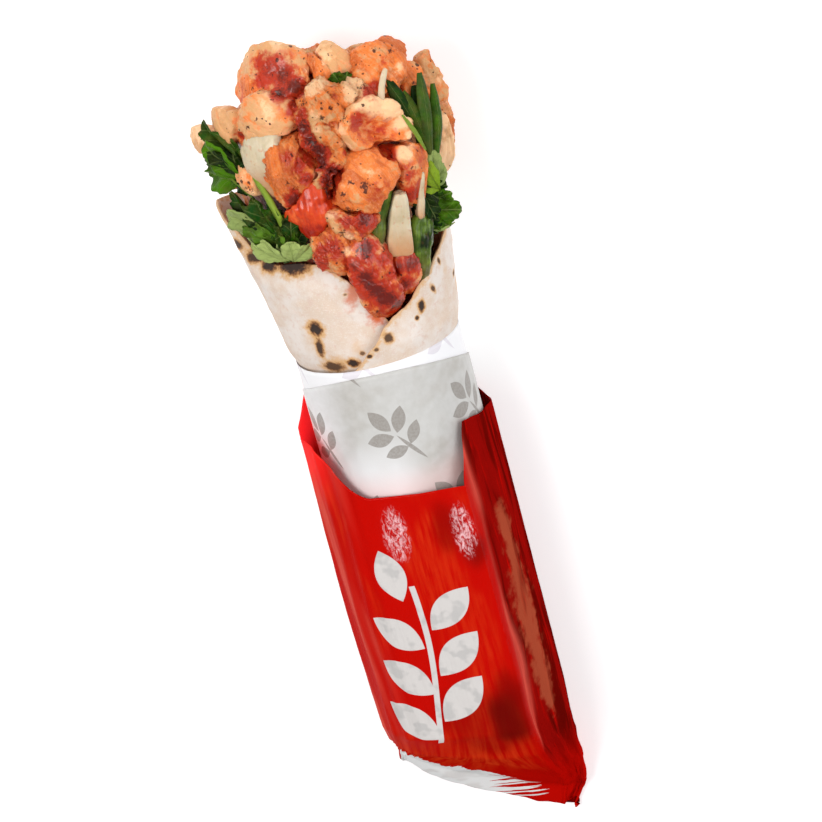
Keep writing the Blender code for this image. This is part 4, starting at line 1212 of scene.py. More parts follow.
# Hollows, the same way, with their depth in mm last; a negative one stands out
HOLLOWS = (
    (-2, 178, 47, 5.0, 2.4), (21, 158, 51, 4.2, 3.4), (25, 154.5, 49, 3.8, 3.2), (17, 161, 53, 2.6, 1.4),
    (23, 165, 50, 3.0, -1.8), (28, 161, 47, 2.8, -1.8), (31, 155, 46, 2.4, -1.0), (24, 149, 50, 2.2, 2.0),
    (8, 148, 59, 2.4, 2.6), (4, 158, 58, 3.2, 1.4), (5, 154, 60, 2.6, 2.2), (12, 106, 58, 3.0, 1.2),
    (9, 112, 59, 2.6, 0.9), (24, 168, 47, 2.2, 1.4), (-19, 162, 52, 2.2, 1.8), (5, 143, 58, 2.2, 1.6),
)  # fmt: skip


def main_axes(bm):
    """The solid's long, wide and thin direction."""
    points = np.array([v.co for v in bm.verts])
    spread = np.linalg.eigh(np.cov((points - points.mean(axis=0)).T))[1]
    axes = [Vector(spread[:, column]) for column in (2, 1, 0)]
    return [axis if max(axis, key=abs) > 0 else -axis for axis in axes]


def nearness(place, spots):
    """How much a place in mm lies in any of the spots; their height counts less."""
    most = 0.0
    for x, y, z, radius, strength in spots:
        off = (place.x - x) ** 2 + (place.y - y) ** 2 + 0.2 * (place.z - z) ** 2
        off /= radius * radius
        if off < SPOT_END:
            most = max(most, strength * math.exp(-off))
    return most


def radius_at(radii, angle):
    """The outline's radius at an angle, eased between the given ones."""
    at = angle / math.tau * len(radii) % len(radii)
    first = int(at)
    share = at - first
    before, low, high, after = (radii[(first + step) % len(radii)] for step in (-1, 0, 1, 2))
    slope_low, slope_high = (high - before) / 2, (after - low) / 2
    s2, s3 = share * share, share**3
    eased = low * (2 * s3 - 3 * s2 + 1) + slope_low * (s3 - 2 * s2 + share)
    return eased + high * (3 * s2 - 2 * s3) + slope_high * (s3 - s2)


def slab(middle, angles, thickness, bends, radii, seed):
    """A slice as a ball flattened to its outline: flat faces, a round ragged rim. With it go its
    long, wide and thin direction."""
    mean = sum(radii) / len(radii)
    around = round(math.tau * mean * MM / MEAT_CELL)
    across = 2 * round((mean + 0.6 * thickness) * MM / MEAT_CELL / 1.2)
    bm = bmesh.new()
    bmesh.ops.create_uvsphere(bm, u_segments=around, v_segments=across, radius=1.0)
    lean, nod = (math.radians(angle) for angle in angles)
    tilt = Matrix.Rotation(lean, 3, "Y") @ Matrix.Rotation(-nod, 3, "X")
    for vertex in bm.verts:
        angle = math.atan2(vertex.co.x, vertex.co.y)
        down = math.acos(max(-1.0, min(1.0, abs(vertex.co.z)))) / (math.pi / 2)
        if down < SLAB_FACE:
            out = 0.9 * down / SLAB_FACE
            height = 1 - 0.14 * (out / 0.9) ** 3
        else:
            turn = (down - SLAB_FACE) / 0.32 * math.pi / 2
            out = 0.9 + 0.1 * math.sin(turn)
            height = 0.86 * math.cos(turn)
        ragged = 1 + 0.07 * rough(3 * math.cos(angle), 3 * math.sin(angle), seed)
        ragged += 0.045 * rough(8 * math.cos(angle), 8 * math.sin(angle), seed)
        reach = out * radius_at(radii, angle) * ragged
        x, y = reach * math.sin(angle), reach * math.cos(angle)
        lift = bends[0] * ((y / mean) ** 2 - 0.35) + bends[1] * ((x / mean) ** 2 - 0.35)
        z = math.copysign(height, vertex.co.z) * thickness / 2 + lift
        vertex.co = (Vector(middle) + tilt @ Vector((x, y, z))) * MM
    return bm, [tilt @ Vector(way) for way in ((0, 1, 0), (1, 0, 0), (0, 0, 1))]


def torn_relief(u, v, w, rim, coarse, seed):
    """How far the meat stands out in mm at a place along, across and through its fibres, and
    how much of that is its slow lumps."""
    lump = 0.9 * rough(u * 0.10 + seed, v * 0.14, w * 0.1)
    lump += 0.45 * rough(u * 0.26, v * 0.36 + seed, w * 0.3)
    step = ramp(-0.035, 0.035, rough(u * 0.07 + seed, v * 0.17, 4)) - 0.5
    step += 0.6 * (ramp(-0.04, 0.04, rough(u * 0.12, v * 0.26 + seed, 8)) - 0.5)
    ridges = rough(u * 0.09, v * 0.62 + seed, w * 0.5) + 0.5 * rough(u * 0.2 + seed, v * 1.4, w * 1.1)
    split = ridge(rough(u * 0.06 + seed, v * 0.24, w * 0.2 + 9), 0.0, 0.04)
    crumbs = abs(rough(u * 0.6, v * 0.7, w * 0.65 + seed))
    crumbs += 0.5 * abs(rough(u * 1.3, v * 1.4 + seed, w * 1.3))
    torn = rim * (0.7 * rough(u * 0.42, v * 0.42, seed) + 0.5 * rough(u * 0.9, seed, v * 0.9))
    relief = (0.5 + 0.5 * coarse) * lump + (0.3 + 1.0 * coarse) * step
    relief += (0.1 + 0.35 * coarse) * ridges
    open_meat = coarse * (1.3 * crumbs - 0.5) - (0.15 + 0.8 * coarse) * split
    relief += open_meat + (0.5 + 0.6 * coarse) * torn
    return relief, lump


def hollowed(at, relief):
    """The relief with the hollows near a place taken from it."""
    for x, y, z, radius, depth in HOLLOWS:
        off = ((at.x - x) ** 2 + (at.y - y) ** 2 + 0.3 * (at.z - z) ** 2) / (radius * radius)
        if off < SPOT_END:
            relief -= depth * math.exp(-off)
    return relief


def stained(at, look, low, rim, seed):
    """How saucy, scorched, pale and orange the meat is at a place in mm."""
    orange, saucy, scorched, pale, _, _ = look
    patch = rough(at.x * 0.16 + seed, at.y * 0.16, at.z * 0.16)
    sauce = saucy * (0.75 + 0.6 * patch) + nearness(at, SAUCE_SPOTS) + 0.3 * low * (0.3 + saucy)
    char = 0.5 * scorched * (0.6 + 1.2 * rough(at.x * 0.22, at.y * 0.22 + seed, at.z * 0.22))
    char = max(char, nearness(at, CHAR_SPOTS))
    light = pale * (0.6 + rough(at.x * 0.13, at.y * 0.13, at.z * 0.13 + seed))
    light += nearness(at, PALE_SPOTS) + 0.4 * rim * (1 - orange)
    tone = orange + 0.5 * rough(at.x * 0.1, at.y * 0.1 + seed, at.z * 0.1) + 0.35 * low
    return sauce, max(0.0, char), max(0.0, light), max(0.0, tone)


def tear(bm, axes, look, seed):
    """Grooves the surface along its fibres, tears it, and stains it as the slice's look says."""
    coarse = look[4]
    stain = bm.verts.layers.float_color.new("stain")
    fibre = bm.verts.layers.float_vector.new("fibre")
    rasp = bm.verts.layers.float.new("coarse")
    long, wide, thin = axes
    middle = sum((v.co for v in bm.verts), Vector()) / len(bm.verts)
    bm.normal_update()
    moves = []
    for vertex in bm.verts:
        local = (vertex.co - middle) / MM
        bent = local + noise.noise_vector(local * 0.09 + Vector((seed, 0, 3))) * 2.2
        u, v, w = bent.dot(long), bent.dot(wide), bent.dot(thin)
        rim = 1 - abs(vertex.normal.dot(thin))
        relief, lump = torn_relief(u, v, w, rim, coarse, seed)
        at = vertex.co / MM
        relief = hollowed(at, relief)
        vertex[stain] = stained(at, look, ramp(0.1, -0.5, relief - lump), rim, seed)
        vertex[fibre] = (u, v, w)
        vertex[rasp] = coarse
        moves.append(vertex.normal * relief * MM)
    for vertex, move in zip(bm.verts, moves):
        vertex.co += move
        vertex.co.z = max(vertex.co.z, 0.1 * MM)


def seed_of(node):
    """A number of its own for each slice, from the letters of its name."""
    return sum(ord(letter) * (i + 3) for i, letter in enumerate(node)) * 0.37 % 50


def finish_slice(node, bm, axes, look, paint):
    """Turns the fibres, tears the slice and puts it for the CAD node of its name."""
    long, wide, thin = axes
    spin = Matrix.Rotation(math.radians(look[5]), 3, thin)
    tear(bm, (spin @ long, spin @ wide, thin), look, seed_of(node))
    bmesh.ops.recalc_face_normals(bm, faces=bm.faces)
    made = new_piece(node + "_slice", bm, paint, angle=180)
    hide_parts(node)


def make_slices(shown, under, paint):
    """The slices with an outline of their own, then those that keep their CAD solid's."""
    for node, (*shape, look) in shown.items():
        bm, axes = slab(*shape, seed_of(node))
        finish_slice(node, bm, axes, look, paint)
    for node, look in under.items():
        bm = remeshed(solid_of(node), MEAT_CELL)
        finish_slice(node, bm, main_axes(bm), look, paint)


def speck_group():
    """Node group: small dark specks, more of them where the amount is high."""
    group, nodes, given, result = new_group("specks", ("Place",), ("Amount",), "Mask")
    mask = 0.0
    for size, share in ((0.42, 0.10), (0.9, 0.16)):
        shake = nodes.add("ShaderNodeTexNoise", None, Vector=given["Place"], Scale=1.3)
        shaken = nodes.vector("ADD", given["Place"], shake.outputs["Color"])
        cells = nodes.add("ShaderNodeTexVoronoi", {"feature": "F1"}, Vector=shaken, Scale=size)
        pick = nodes.shares(cells.outputs["Color"])
        limit = nodes.math("MULTIPLY_ADD", given["Amount"], 0.9, share * 0.6)
        chosen = nodes.math("LESS_THAN", pick[0], limit)
        width = nodes.math("MULTIPLY_ADD", pick[1], 0.22, 0.10)
        inside = nodes.math("LESS_THAN", cells.outputs["Distance"], width)
        mask = nodes.math("MAXIMUM", mask, nodes.math("MULTIPLY", chosen, inside))
    nodes.feed(result, mask)
    return group


specks = speck_group()


def meat(name, wetness):
    """Grilled meat: fibrous, mottled, stained by sauce and scorched, as wet as asked."""
    paint, nodes, shader, place = new_paint(name)
    sauce, char, pale = nodes.shares(nodes.attribute("stain", "Color"))
    orange = nodes.attribute("stain", "Alpha")
    fibre = nodes.attribute("fibre", "Vector")
    strands = nodes.noise(nodes.scaled(fibre, (0.10, 0.9, 0.7)), 1.0, 4.0, 0.6)
    threads = nodes.noise(nodes.scaled(fibre, (0.25, 2.6, 2.2)), 1.0, 3.0, 0.6)
    mottle = nodes.noise(place, 0.33, 5.0, 0.62)
    fine = nodes.noise(place, 1.5, 4.0, 0.6)
    shift = nodes.spread(mottle, -0.35, 0.35)
    spiced = nodes.ramp(nodes.math("ADD", orange, shift), 0.25, 0.75)
    tone = nodes.blend(spiced, MEAT_TONES["tan"], MEAT_TONES["orange"])
    seared = nodes.math("SUBTRACT", nodes.math("ADD", orange, strands), pale)
    tone = nodes.blend(nodes.ramp(seared, 1.0, 1.5, 0.0, 0.8), tone, MEAT_TONES["brown"])
    tone = nodes.blend(nodes.ramp(fine, 0.55, 0.72, 0.0, 0.45), tone, MEAT_TONES["rose"])
    bare = nodes.ramp(nodes.math("ADD", pale, shift), 0.35, 0.9, 0.0, 0.95)
    tone = nodes.blend(bare, tone, MEAT_TONES["pale"])
    tone = nodes.blend(nodes.ramp(threads, 0.35, 0.7, 0.0, 0.15), tone, MEAT_TONES["pale"])
    pool = nodes.ramp(nodes.math("ADD", sauce, nodes.spread(fine, -0.25, 0.25)), 0.8, 1.7)
    red = nodes.blend(pool, MEAT_TONES["sauce"], MEAT_TONES["deep"])
    covered = nodes.ramp(nodes.math("MULTIPLY_ADD", shift, 0.8, sauce), 0.18, 0.8, 0.0, 0.96)
    tone = nodes.blend(covered, tone, red)
    crust = nodes.ramp(nodes.math("ADD", char, nodes.spread(fine, -0.4, 0.4)), 0.62, 1.0, 0.0, 0.9)
    tone = nodes.blend(crust, tone, MEAT_TONES["char"])
    dots = nodes.add("ShaderNodeGroup", {"node_tree": specks}, Place=place, Amount=char)
    tone = nodes.blend(nodes.math("MULTIPLY", dots, 0.9), tone, MEAT_TONES["char"])
    raised = nodes.math("MULTIPLY", strands, 0.8)
    height = nodes.math("ADD", raised, nodes.math("MULTIPLY", threads, 0.5))
    height = nodes.math("ADD", height, nodes.math("MULTIPLY", fine, 0.7))
    height = nodes.math("SUBTRACT", height, nodes.math("MULTIPLY", covered, raised))
    coarse = nodes.ramp(nodes.attribute("coarse"), 0.0, 0.8, 0.22, 1.0)
    dry = nodes.spread(mottle, 0.36 - 0.12 * wetness, 0.6 - 0.2 * wetness)
    nodes.dress(
        shader,
        Base_Color=tone,
        Roughness=nodes.math("SUBTRACT", dry, nodes.math("MULTIPLY", covered, 0.14)),
        Normal=nodes.bump(height, 1.0 * MM, coarse),
        Coat_Weight=nodes.math("MULTIPLY", covered, 0.2 + 0.2 * wetness),
        Coat_Roughness=0.12,
        Specular_IOR_Level=0.22,
        Subsurface_Weight=0.12,
        Subsurface_Radius=(1.0, 0.35, 0.15),
        Subsurface_Scale=1.2 * MM,
    )
    return paint


make_slices(SLICES, UNDER_SLICES, meat("grilled_chicken", 0.3))
make_slices(SAUCED_SLICES, SAUCED_UNDER_SLICES, meat("sauced_chicken", 1.0))


# ---------------------------------------------------------------- the vegetables
# Raw, knife-cut vegetables tucked between the slices: a wedge of tomato, a slice, a strip and
# two shreds of white onion and two strips of green pepper, all wet with juice and sauce.

VEG_CELL = 0.6 * MM  # size of a strip's faces
TOMATO_TONES = ((0.34, 0.012, 0.003), (0.62, 0.050, 0.008), (0.86, 0.150, 0.030))
ONION_TONES = ((0.52, 0.42, 0.26), (0.61, 0.51, 0.345), (0.71, 0.63, 0.485))
PEPPER_TONES = ((0.006, 0.014, 0.001), (0.050, 0.095, 0.005), (0.17, 0.27, 0.03))
VEG_SAUCE = (0.52, 0.085, 0.020)
VEG_JUICE = (0.56, 0.27, 0.12)
# The wedge and the slice, given like the chicken slices but without a look
TOMATO = ((-2, 137, 54.5), (-8, -5), 10, (-1, -2), (7.5, 10.5, 7.5, 7, 6.5, 7, 8.5, 8.5, 6.5, 9, 6, 5.5))
ONION_SLICE = (
    (-13, 155, 53.3), (-25, 2), 5, (-1, -1.5), (9, 10, 9, 6.5, 5, 7, 12.5, 8.5, 7, 7, 8, 8.5),
)  # fmt: skip
# Cut strips: far end, near end in mm, the way their upper face looks, width at either end,
# thickness, sideways bow in mm
ONION_STRIP = ((24.6, 136, 51.5), (19.4, 116.5, 50.6), (0.35, -0.1, 0.93), 4.4, 9.0, 5, 0.3)
ONION_SLIVER = ((31.5, 139.5, 46), (27.6, 125, 46.5), (0.6, 0, 0.8), 1.6, 2.8, 3, 0.5)
CROWN_SHRED = ((28.4, 172.5, 44.6), (25.2, 163.5, 48.4), (0.4, 0.3, 0.85), 1.6, 2.4, 1.6, 0.4)
PEPPER_STRIP = ((21.4, 139, 51.5), (13.5, 121.5, 52.5), (-0.1, -0.1, 1.0), 4.4, 5.4, 7, 1.2)
PEPPER_PIECE = ((28.4, 126.5, 44.6), (22.0, 106, 44.6), (0.5, -0.1, 0.85), 8.6, 6.4, 6, 1.5)


def cut_strip(far, near, up, width_far, width_near, thickness, bow, seed, squareness=5.0):
    """A strip cut with a knife: a ball squared up between its two ends. With it go its long,
    wide and thin direction."""
    far, near, up = Vector(far), Vector(near), Vector(up)
    along = (far - near) / 2
    right = along.cross(up).normalized()
    up = right.cross(along).normalized()
    bm = bmesh.new()
    bmesh.ops.create_cube(bm, size=2.0)
    cuts = round(2 * along.length * MM / VEG_CELL)
    bmesh.ops.subdivide_edges(bm, edges=list(bm.edges), cuts=cuts, use_grid_fill=True)
    for vertex in bm.verts:
        x, y, z = vertex.co
        size = (abs(x) ** squareness + abs(y) ** squareness + abs(z) ** squareness) ** (1 / squareness)
        x, y, z = (part / size for part in (x, y, z))
        half = (width_near + (width_far - width_near) * (y + 1) / 2) / 2
        half *= 1 + 0.06 * rough(seed, y * 1.7, z)
        side = half * x + bow * (y * y - 0.4)
        height = thickness / 2 * z * (1 - 0.18 * x * x)
        middle = (far + near) / 2 + along * y * (1 + 0.03 * rough(x * 2, seed, z * 2))
        vertex.co = (middle + right * side + up * height) * MM
    return bm, (along.normalized(), right, up)


def wet(bm, axes, lumps, ribs, seed):
    """Makes a cut piece uneven, and keeps its own directions for its material."""
    long, wide, thin = axes
    grain = bm.verts.layers.float_vector.new("grain")
    middle = sum((v.co for v in bm.verts), Vector()) / len(bm.verts)
    bm.normal_update()
    moves = []
    for vertex in bm.verts:
        local = (vertex.co - middle) / MM
        u, v, w = local.dot(long), local.dot(wide), local.dot(thin)
        vertex[grain] = (u, v, w)
        lump = rough(u * 0.16 + seed, v * 0.2, w * 0.2) + 0.4 * rough(u * 0.5, v * 0.5 + seed, w * 0.5)
        relief = lumps * lump + ribs * rough(u * 0.05 + seed, v * 0.9, w * 0.5)
        moves.append(vertex.normal * relief * MM)
    for vertex, move in zip(bm.verts, moves):
        vertex.co += move


def vegetable(name, tones, soft, coat, saucy, streaks):
    """Material of raw, wet vegetable: lengthwise streaks in three tones, stained by sauce, and
    by juice towards its near end."""
    paint, nodes, shader, place = new_paint(name)
    grain = nodes.attribute("grain", "Vector")
    low, middle, high = tones
    streak = nodes.noise(nodes.scaled(grain, (0.09, 0.85, 0.6)), 1.0, 4.0, 0.6)
    patch = nodes.noise(place, 0.13, 3.0, 0.5)
    share = nodes.math("MULTIPLY_ADD", nodes.math("SUBTRACT", streak, 0.5), streaks, patch)
    colour = nodes.blend(nodes.ramp(share, 0.34, 0.52), low, middle)
    colour = nodes.blend(nodes.ramp(share, 0.52, 0.72), colour, high)
    sauce = nodes.ramp(nodes.noise(place, 0.42, 5.0, 0.6), 0.56, 0.66, 0.0, saucy)
    colour = nodes.blend(sauce, colour, VEG_SAUCE)
    juice = nodes.ramp(nodes.parts(grain)["X"], 1.0, -9.5, 0.0, saucy * 3)
    bumps = nodes.math("ADD", nodes.noise(place, 1.6, 4.0, 0.6), nodes.math("MULTIPLY", streak, 1.6))
    nodes.dress(
        shader,
        Base_Color=nodes.blend(juice, colour, VEG_JUICE),
        Roughness=nodes.spread(nodes.noise(place, 0.7, 3.0), 0.22, 0.48),
        Normal=nodes.bump(bumps, 0.12 * MM, 0.6),
        Coat_Weight=coat,
        Coat_Roughness=0.1,
        Specular_IOR_Level=0.2,
        Subsurface_Weight=soft,
        Subsurface_Radius=(1.0, 0.55, 0.3),
        Subsurface_Scale=3.0 * MM,
    )
    return paint


def vegetable_piece(name, shape, paint, node, lumps, ribs, seed):
    """A cut piece made uneven, put for its CAD node."""
    bm, axes = shape
    wet(bm, axes, lumps, ribs, seed)
    bmesh.ops.recalc_face_normals(bm, faces=bm.faces)
    made = new_piece(name, bm, paint, angle=60)
    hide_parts(node)


tomato_flesh = vegetable("tomato_flesh", TOMATO_TONES, 0.2, 0.35, 0.0, 0.5)
vegetable_piece("tomato_wedge", slab(*TOMATO, 4.0), tomato_flesh, "tomato", 1.0, 0.2, 4.0)
onion_flesh = vegetable("onion_flesh", ONION_TONES, 0.3, 0.2, 0.3, 0.25)
for name, shape, node, lumps, ribs, seed in (
    ("onion_slice", slab(*ONION_SLICE, 9.0), "onion_left", 0.4, 0.15, 9.0),
    ("onion_strip", cut_strip(*ONION_STRIP, 14.0, 9.0), "onion_wedge", 0.2, 0.15, 14.0),
    ("onion_shred", cut_strip(*ONION_SLIVER, 17.0), "onion_sliver", 0.3, 0.2, 17.0),
    ("crown_shred", cut_strip(*CROWN_SHRED, 31.0), "onion_sliver", 0.2, 0.2, 31.0),
):
    vegetable_piece(name, shape, onion_flesh, node, lumps, ribs, seed)
pepper_flesh = vegetable("pepper_flesh", PEPPER_TONES, 0.0, 0.2, 0.05, 0.6)
for name, shape, node, lumps, ribs, seed in (
    ("pepper_strip", cut_strip(*PEPPER_STRIP, 21.0, 3.5), "pepper_middle", 0.5, 0.2, 21.0),
    ("pepper_piece", cut_strip(*PEPPER_PIECE, 26.0, 3.0), "pepper_right", 0.9, 0.3, 26.0),
):
    vegetable_piece(name, shape, pepper_flesh, node, lumps, ribs, seed)


# ---------------------------------------------------------------- the parsley
# Fresh flat parsley, stalks with lobed, toothed leaves, tucked in at either side of the
# filling in five bunches: on the right long narrow leaves beside a curled one, on the left
# leaves that fan out over the bread's rim, one of them turned over to its pale under side.

LEAF_COLUMNS = 88
LEAF_ROWS = 10
LEAF_SHEET = 0.32 * MM
LEAF_RUN_ON = 8  # how far a leaf's rim runs on past its outer lobes, in degrees
BLADE_COLUMNS = 8
BLADE_ROWS = 48
PARSLEY_TONES = {
    "bright": (0.060, 0.180, 0.002),
    "lime": (0.22, 0.34, 0.020),
    "deep": (0.008, 0.062, 0.003),
    "black": (0.002, 0.010, 0.001),
    "pale": (0.36, 0.45, 0.14),
    "olive": (0.075, 0.085, 0.010),
}
THREE_LOBES = ((0, 1.0, 32), (-46, 0.84, 28), (46, 0.84, 28))
FIVE_LOBES = ((0, 1.0, 26), (-38, 0.88, 24), (38, 0.88, 24), (-76, 0.66, 24), (76, 0.66, 24))
# Leaves of each bunch: foot and tip in mm, the way the upper face looks, width against length,
# lobes (turn from the tip in degrees, length share, half breadth in degrees), bend along and
# across in degrees, tone (bright, deep, pale, lime), crinkle in mm
PARSLEY_LEAVES = {
    "parsley_left": (
        ((-21.2, 148.6, 50.4), (-33.2, 160.0, 43.4), (-0.45, -0.15, 0.9), 0.95,
            ((8, 1.0, 27), (-32, 0.9, 24)), 22, 20, (0.95, 0.0, 0.0, 0.04), 1.0),
        ((-19.5, 153.5, 50.2), (-32.0, 167.5, 42.6), (-0.75, 0.35, 0.6), 0.34,
            THREE_LOBES, 10, 30, (0.0, 0.15, 0.0, 0.05), 0.5),
        ((-19.6, 149, 50.8), (-31.5, 160.5, 45.0), (-0.3, -0.3, 0.9), 0.42,
            THREE_LOBES, 20, 40, (0.02, 0.85, 0.0, 0.0), 0.6),
        ((-18.5, 145.5, 51), (-25, 155, 48.5), (-0.2, -0.2, 0.95), 0.7,
            THREE_LOBES, 15, 30, (0.0, 1.0, 0.0, 0.0), 0.5),
    ),
    "parsley_low": (
        ((-12.0, 125.5, 54.0), (-26.4, 146.2, 49.0), (-0.5, -0.25, 0.85), 0.42,
            FIVE_LOBES, 20, 30, (0.15, 0.35, 0.0, 0.0), 0.9),
        ((-13.4, 127, 54.0), (-21.0, 141.5, 51.3), (-0.25, -0.2, 0.95), 0.6,
            THREE_LOBES, 20, 30, (0.0, 1.0, 0.0, 0.0), 0.8),
        ((-12.8, 129, 55.0), (-20.4, 143.5, 52.3), (-0.25, -0.2, 0.95), 0.42,
            THREE_LOBES, 25, 35, (0.4, 0.2, 0.0, 0.0), 0.8),
        ((-11.2, 128, 55.8), (-15.2, 141.5, 54.6), (-0.1, -0.1, 1.0), 0.42,
            THREE_LOBES, 15, 40, (0.3, 0.3, 0.0, 0.0), 0.7),
        ((-19.0, 133, 51.5), (-30.6, 139.4, 48.2), (-0.4, -0.3, 0.85), 0.85,
            ((0, 1.0, 34), (-52, 0.8, 24)), 20, 20, (0.1, 0.0, 0.75, 0.0), 0.4),
    ),
    "parsley_lip": (
        ((-14.5, 126.8, 54.2), (-25.6, 135, 50.8), (-0.4, -0.4, 0.85), 0.6,
            FIVE_LOBES, 22, 25, (0.85, 0.0, 0.05, 0.12), 0.7),
        ((-14.6, 122.4, 54.4), (-24.2, 129.4, 52.3), (-0.3, -0.55, 0.8), 0.75,
            ((0, 1.0, 30), (40, 0.92, 26)), 22, 15, (0.15, 0.0, 0.95, 0.1), 0.5),
        ((-13.4, 122.4, 54.8), (-12.6, 129.8, 56.0), (-0.15, -0.6, 0.8), 0.9,
            ((0, 1.0, 34), (-40, 0.8, 24)), 25, 20, (0.15, 0.0, 0.95, 0.1), 0.4),
        ((-12.2, 122.0, 54.8), (-4.9, 126.7, 56.4), (0.0, -0.6, 0.8), 1.0,
            ((0, 1.0, 32), (-46, 1.0, 30)), 25, 20, (0.25, 0.0, 0.9, 0.15), 0.5),
        ((-11.6, 126.0, 55.4), (-8.6, 137.6, 56.8), (0.15, -0.2, 0.95), 0.6,
            THREE_LOBES, 25, 40, (0.1, 0.5, 0.0, 0.0), 0.6),
    ),
    "parsley_right": (
        ((27.6, 126.0, 41.0), (38.8, 122.6, 37.4), (0.62, 0.1, 0.78), 0.8,
            FIVE_LOBES, 60, 40, (0.7, 0.1, 0.0, 0.05), 1.1),
        ((27.2, 129.5, 42.2), (30.6, 118.5, 42.0), (0.6, -0.1, 0.78), 0.55,
            THREE_LOBES, 30, 30, (0.0, 1.0, 0.0, 0.0), 0.8),
        ((29.0, 128.5, 40.5), (36.0, 133.2, 38.0), (0.55, -0.1, 0.82), 0.8,
            FIVE_LOBES, 40, 40, (0.15, 0.6, 0.0, 0.0), 1.0),
        ((28.6, 122.0, 42.4), (33.2, 119.4, 40.4), (0.6, -0.3, 0.75), 0.8,
            THREE_LOBES, 40, 30, (0.75, 0.05, 0.0, 0.08), 0.8),
        ((29.6, 134.5, 44.8), (31.6, 123.5, 44.4), (0.6, -0.1, 0.78), 0.6,
            THREE_LOBES, 10, 20, (0.0, 1.0, 0.0, 0.0), 0.5),
        ((34.8, 131.5, 42.0), (31.0, 142.0, 42.6), (0.55, -0.2, 0.85), 0.62,
            ((0, 1.0, 34), (-50, 0.8, 26)), 30, 25, (0.3, 0.0, 0.0, 0.85), 0.4),
        ((32.4, 132.4, 41.2), (35.0, 143.6, 39.6), (0.6, -0.1, 0.8), 0.6,
            THREE_LOBES, 25, 30, (0.1, 0.15, 0.7, 0.1), 0.6),
    ),
    "parsley_stems": (
        ((14.6, 169.6, 45.0), (12.6, 174.4, 44.6), (0.1, -0.1, 1.0), 1.2,
            THREE_LOBES, 20, 30, (0.5, 0.3, 0.0, 0.0), 0.4),
    ),
}  # fmt: skip
# Narrow leaves and stalks: the points they run through in mm, the way they look, width and
# depth in mm, tone
PARSLEY_BLADES = {
    "parsley_stems": (
        (((27.0, 170.5, 43.8), (30.2, 162.2, 44.0), (33.2, 150.5, 42.2)),
            (0.45, 0, 0.9), 4.2, 0.8, (0.1, 0.6, 0.0, 0.0)),
        (((31.4, 164.0, 42.6), (33.0, 156.5, 42.8), (34.0, 147.5, 41.4)),
            (0.5, 0, 0.85), 4.2, 0.8, (0.2, 0.15, 0.0, 0.05)),
        (((30.6, 158.2, 47.6), (32.8, 152.4, 46.8), (34.2, 145.2, 44.4)),
            (0.5, 0, 0.85), 1.4, 0.4, (0.2, 0.0, 0.2, 0.7)),
        (((36.8, 167.5, 38.0), (36.2, 156.4, 40.8), (34.2, 141.5, 41.2)),
            (0.6, 0, 0.8), 4.4, 1.0, (0.25, 0.4, 0.05, 0.05)),
        (((39.2, 162.5, 34.5), (38.2, 151.5, 37.0), (35.2, 140.0, 38.4)),
            (0.7, 0, 0.7), 4.2, 1.0, (0.6, 0.2, 0.0, 0.05)),
        (((34.8, 164, 38.0), (34.4, 152, 39.6), (33.0, 138.0, 40.6)),
            (0.6, 0, 0.8), 7.0, 0.6, (0.0, 1.0, 0.0, 0.0)),
    ),
    "parsley_low": (
        (((-19.2, 154.6, 52.0), (-15.4, 146.0, 54.8), (-12.4, 137.0, 56.6), (-11.4, 127.0, 56.0)),
            (-0.3, -0.1, 0.95), 2.5, 0.9, (0.2, 0.0, 0.15, 0.85)),
        (((-17.4, 150.0, 51.0), (-14.4, 142.0, 53.6), (-11.8, 130.0, 55.2)),
            (-0.3, -0.1, 0.95), 2.0, 0.8, (0.4, 0.3, 0.0, 0.2)),
    ),
    "parsley_left": (
        (((-29.0, 153.0, 46.0), (-24.6, 148.6, 49.4), (-18.0, 140.0, 51.2)),
            (-0.4, -0.2, 0.9), 1.1, 0.5, (0.3, 0.1, 0.1, 0.4)),
    ),
    "parsley_right": (
        (((28.8, 119.6, 43.4), (32.4, 118.8, 41.6), (36.0, 119.4, 38.6)),
            (0.5, -0.3, 0.8), 1.0, 0.4, (0.1, 0.0, 0.8, 0.2)),
    ),
}  # fmt: skip


def lobed(turn, lobes):
    """The rim's share of the leaf's length at a turn from the tip, how near it is to a lobe's
    middle line, and that line's side."""
    best, near = 0.0, 1.0
    for middle, length, breadth in lobes:
        off = (turn - middle) / breadth
        reach = length * (1 - 0.26 * abs(off) ** 2.2)
        reach *= 1 + 0.045 * math.cos(off * math.pi * 3) * min(1.0, abs(off) * 3)
        if reach > best:
            best, near = reach, off
    return max(best, 0.16), near


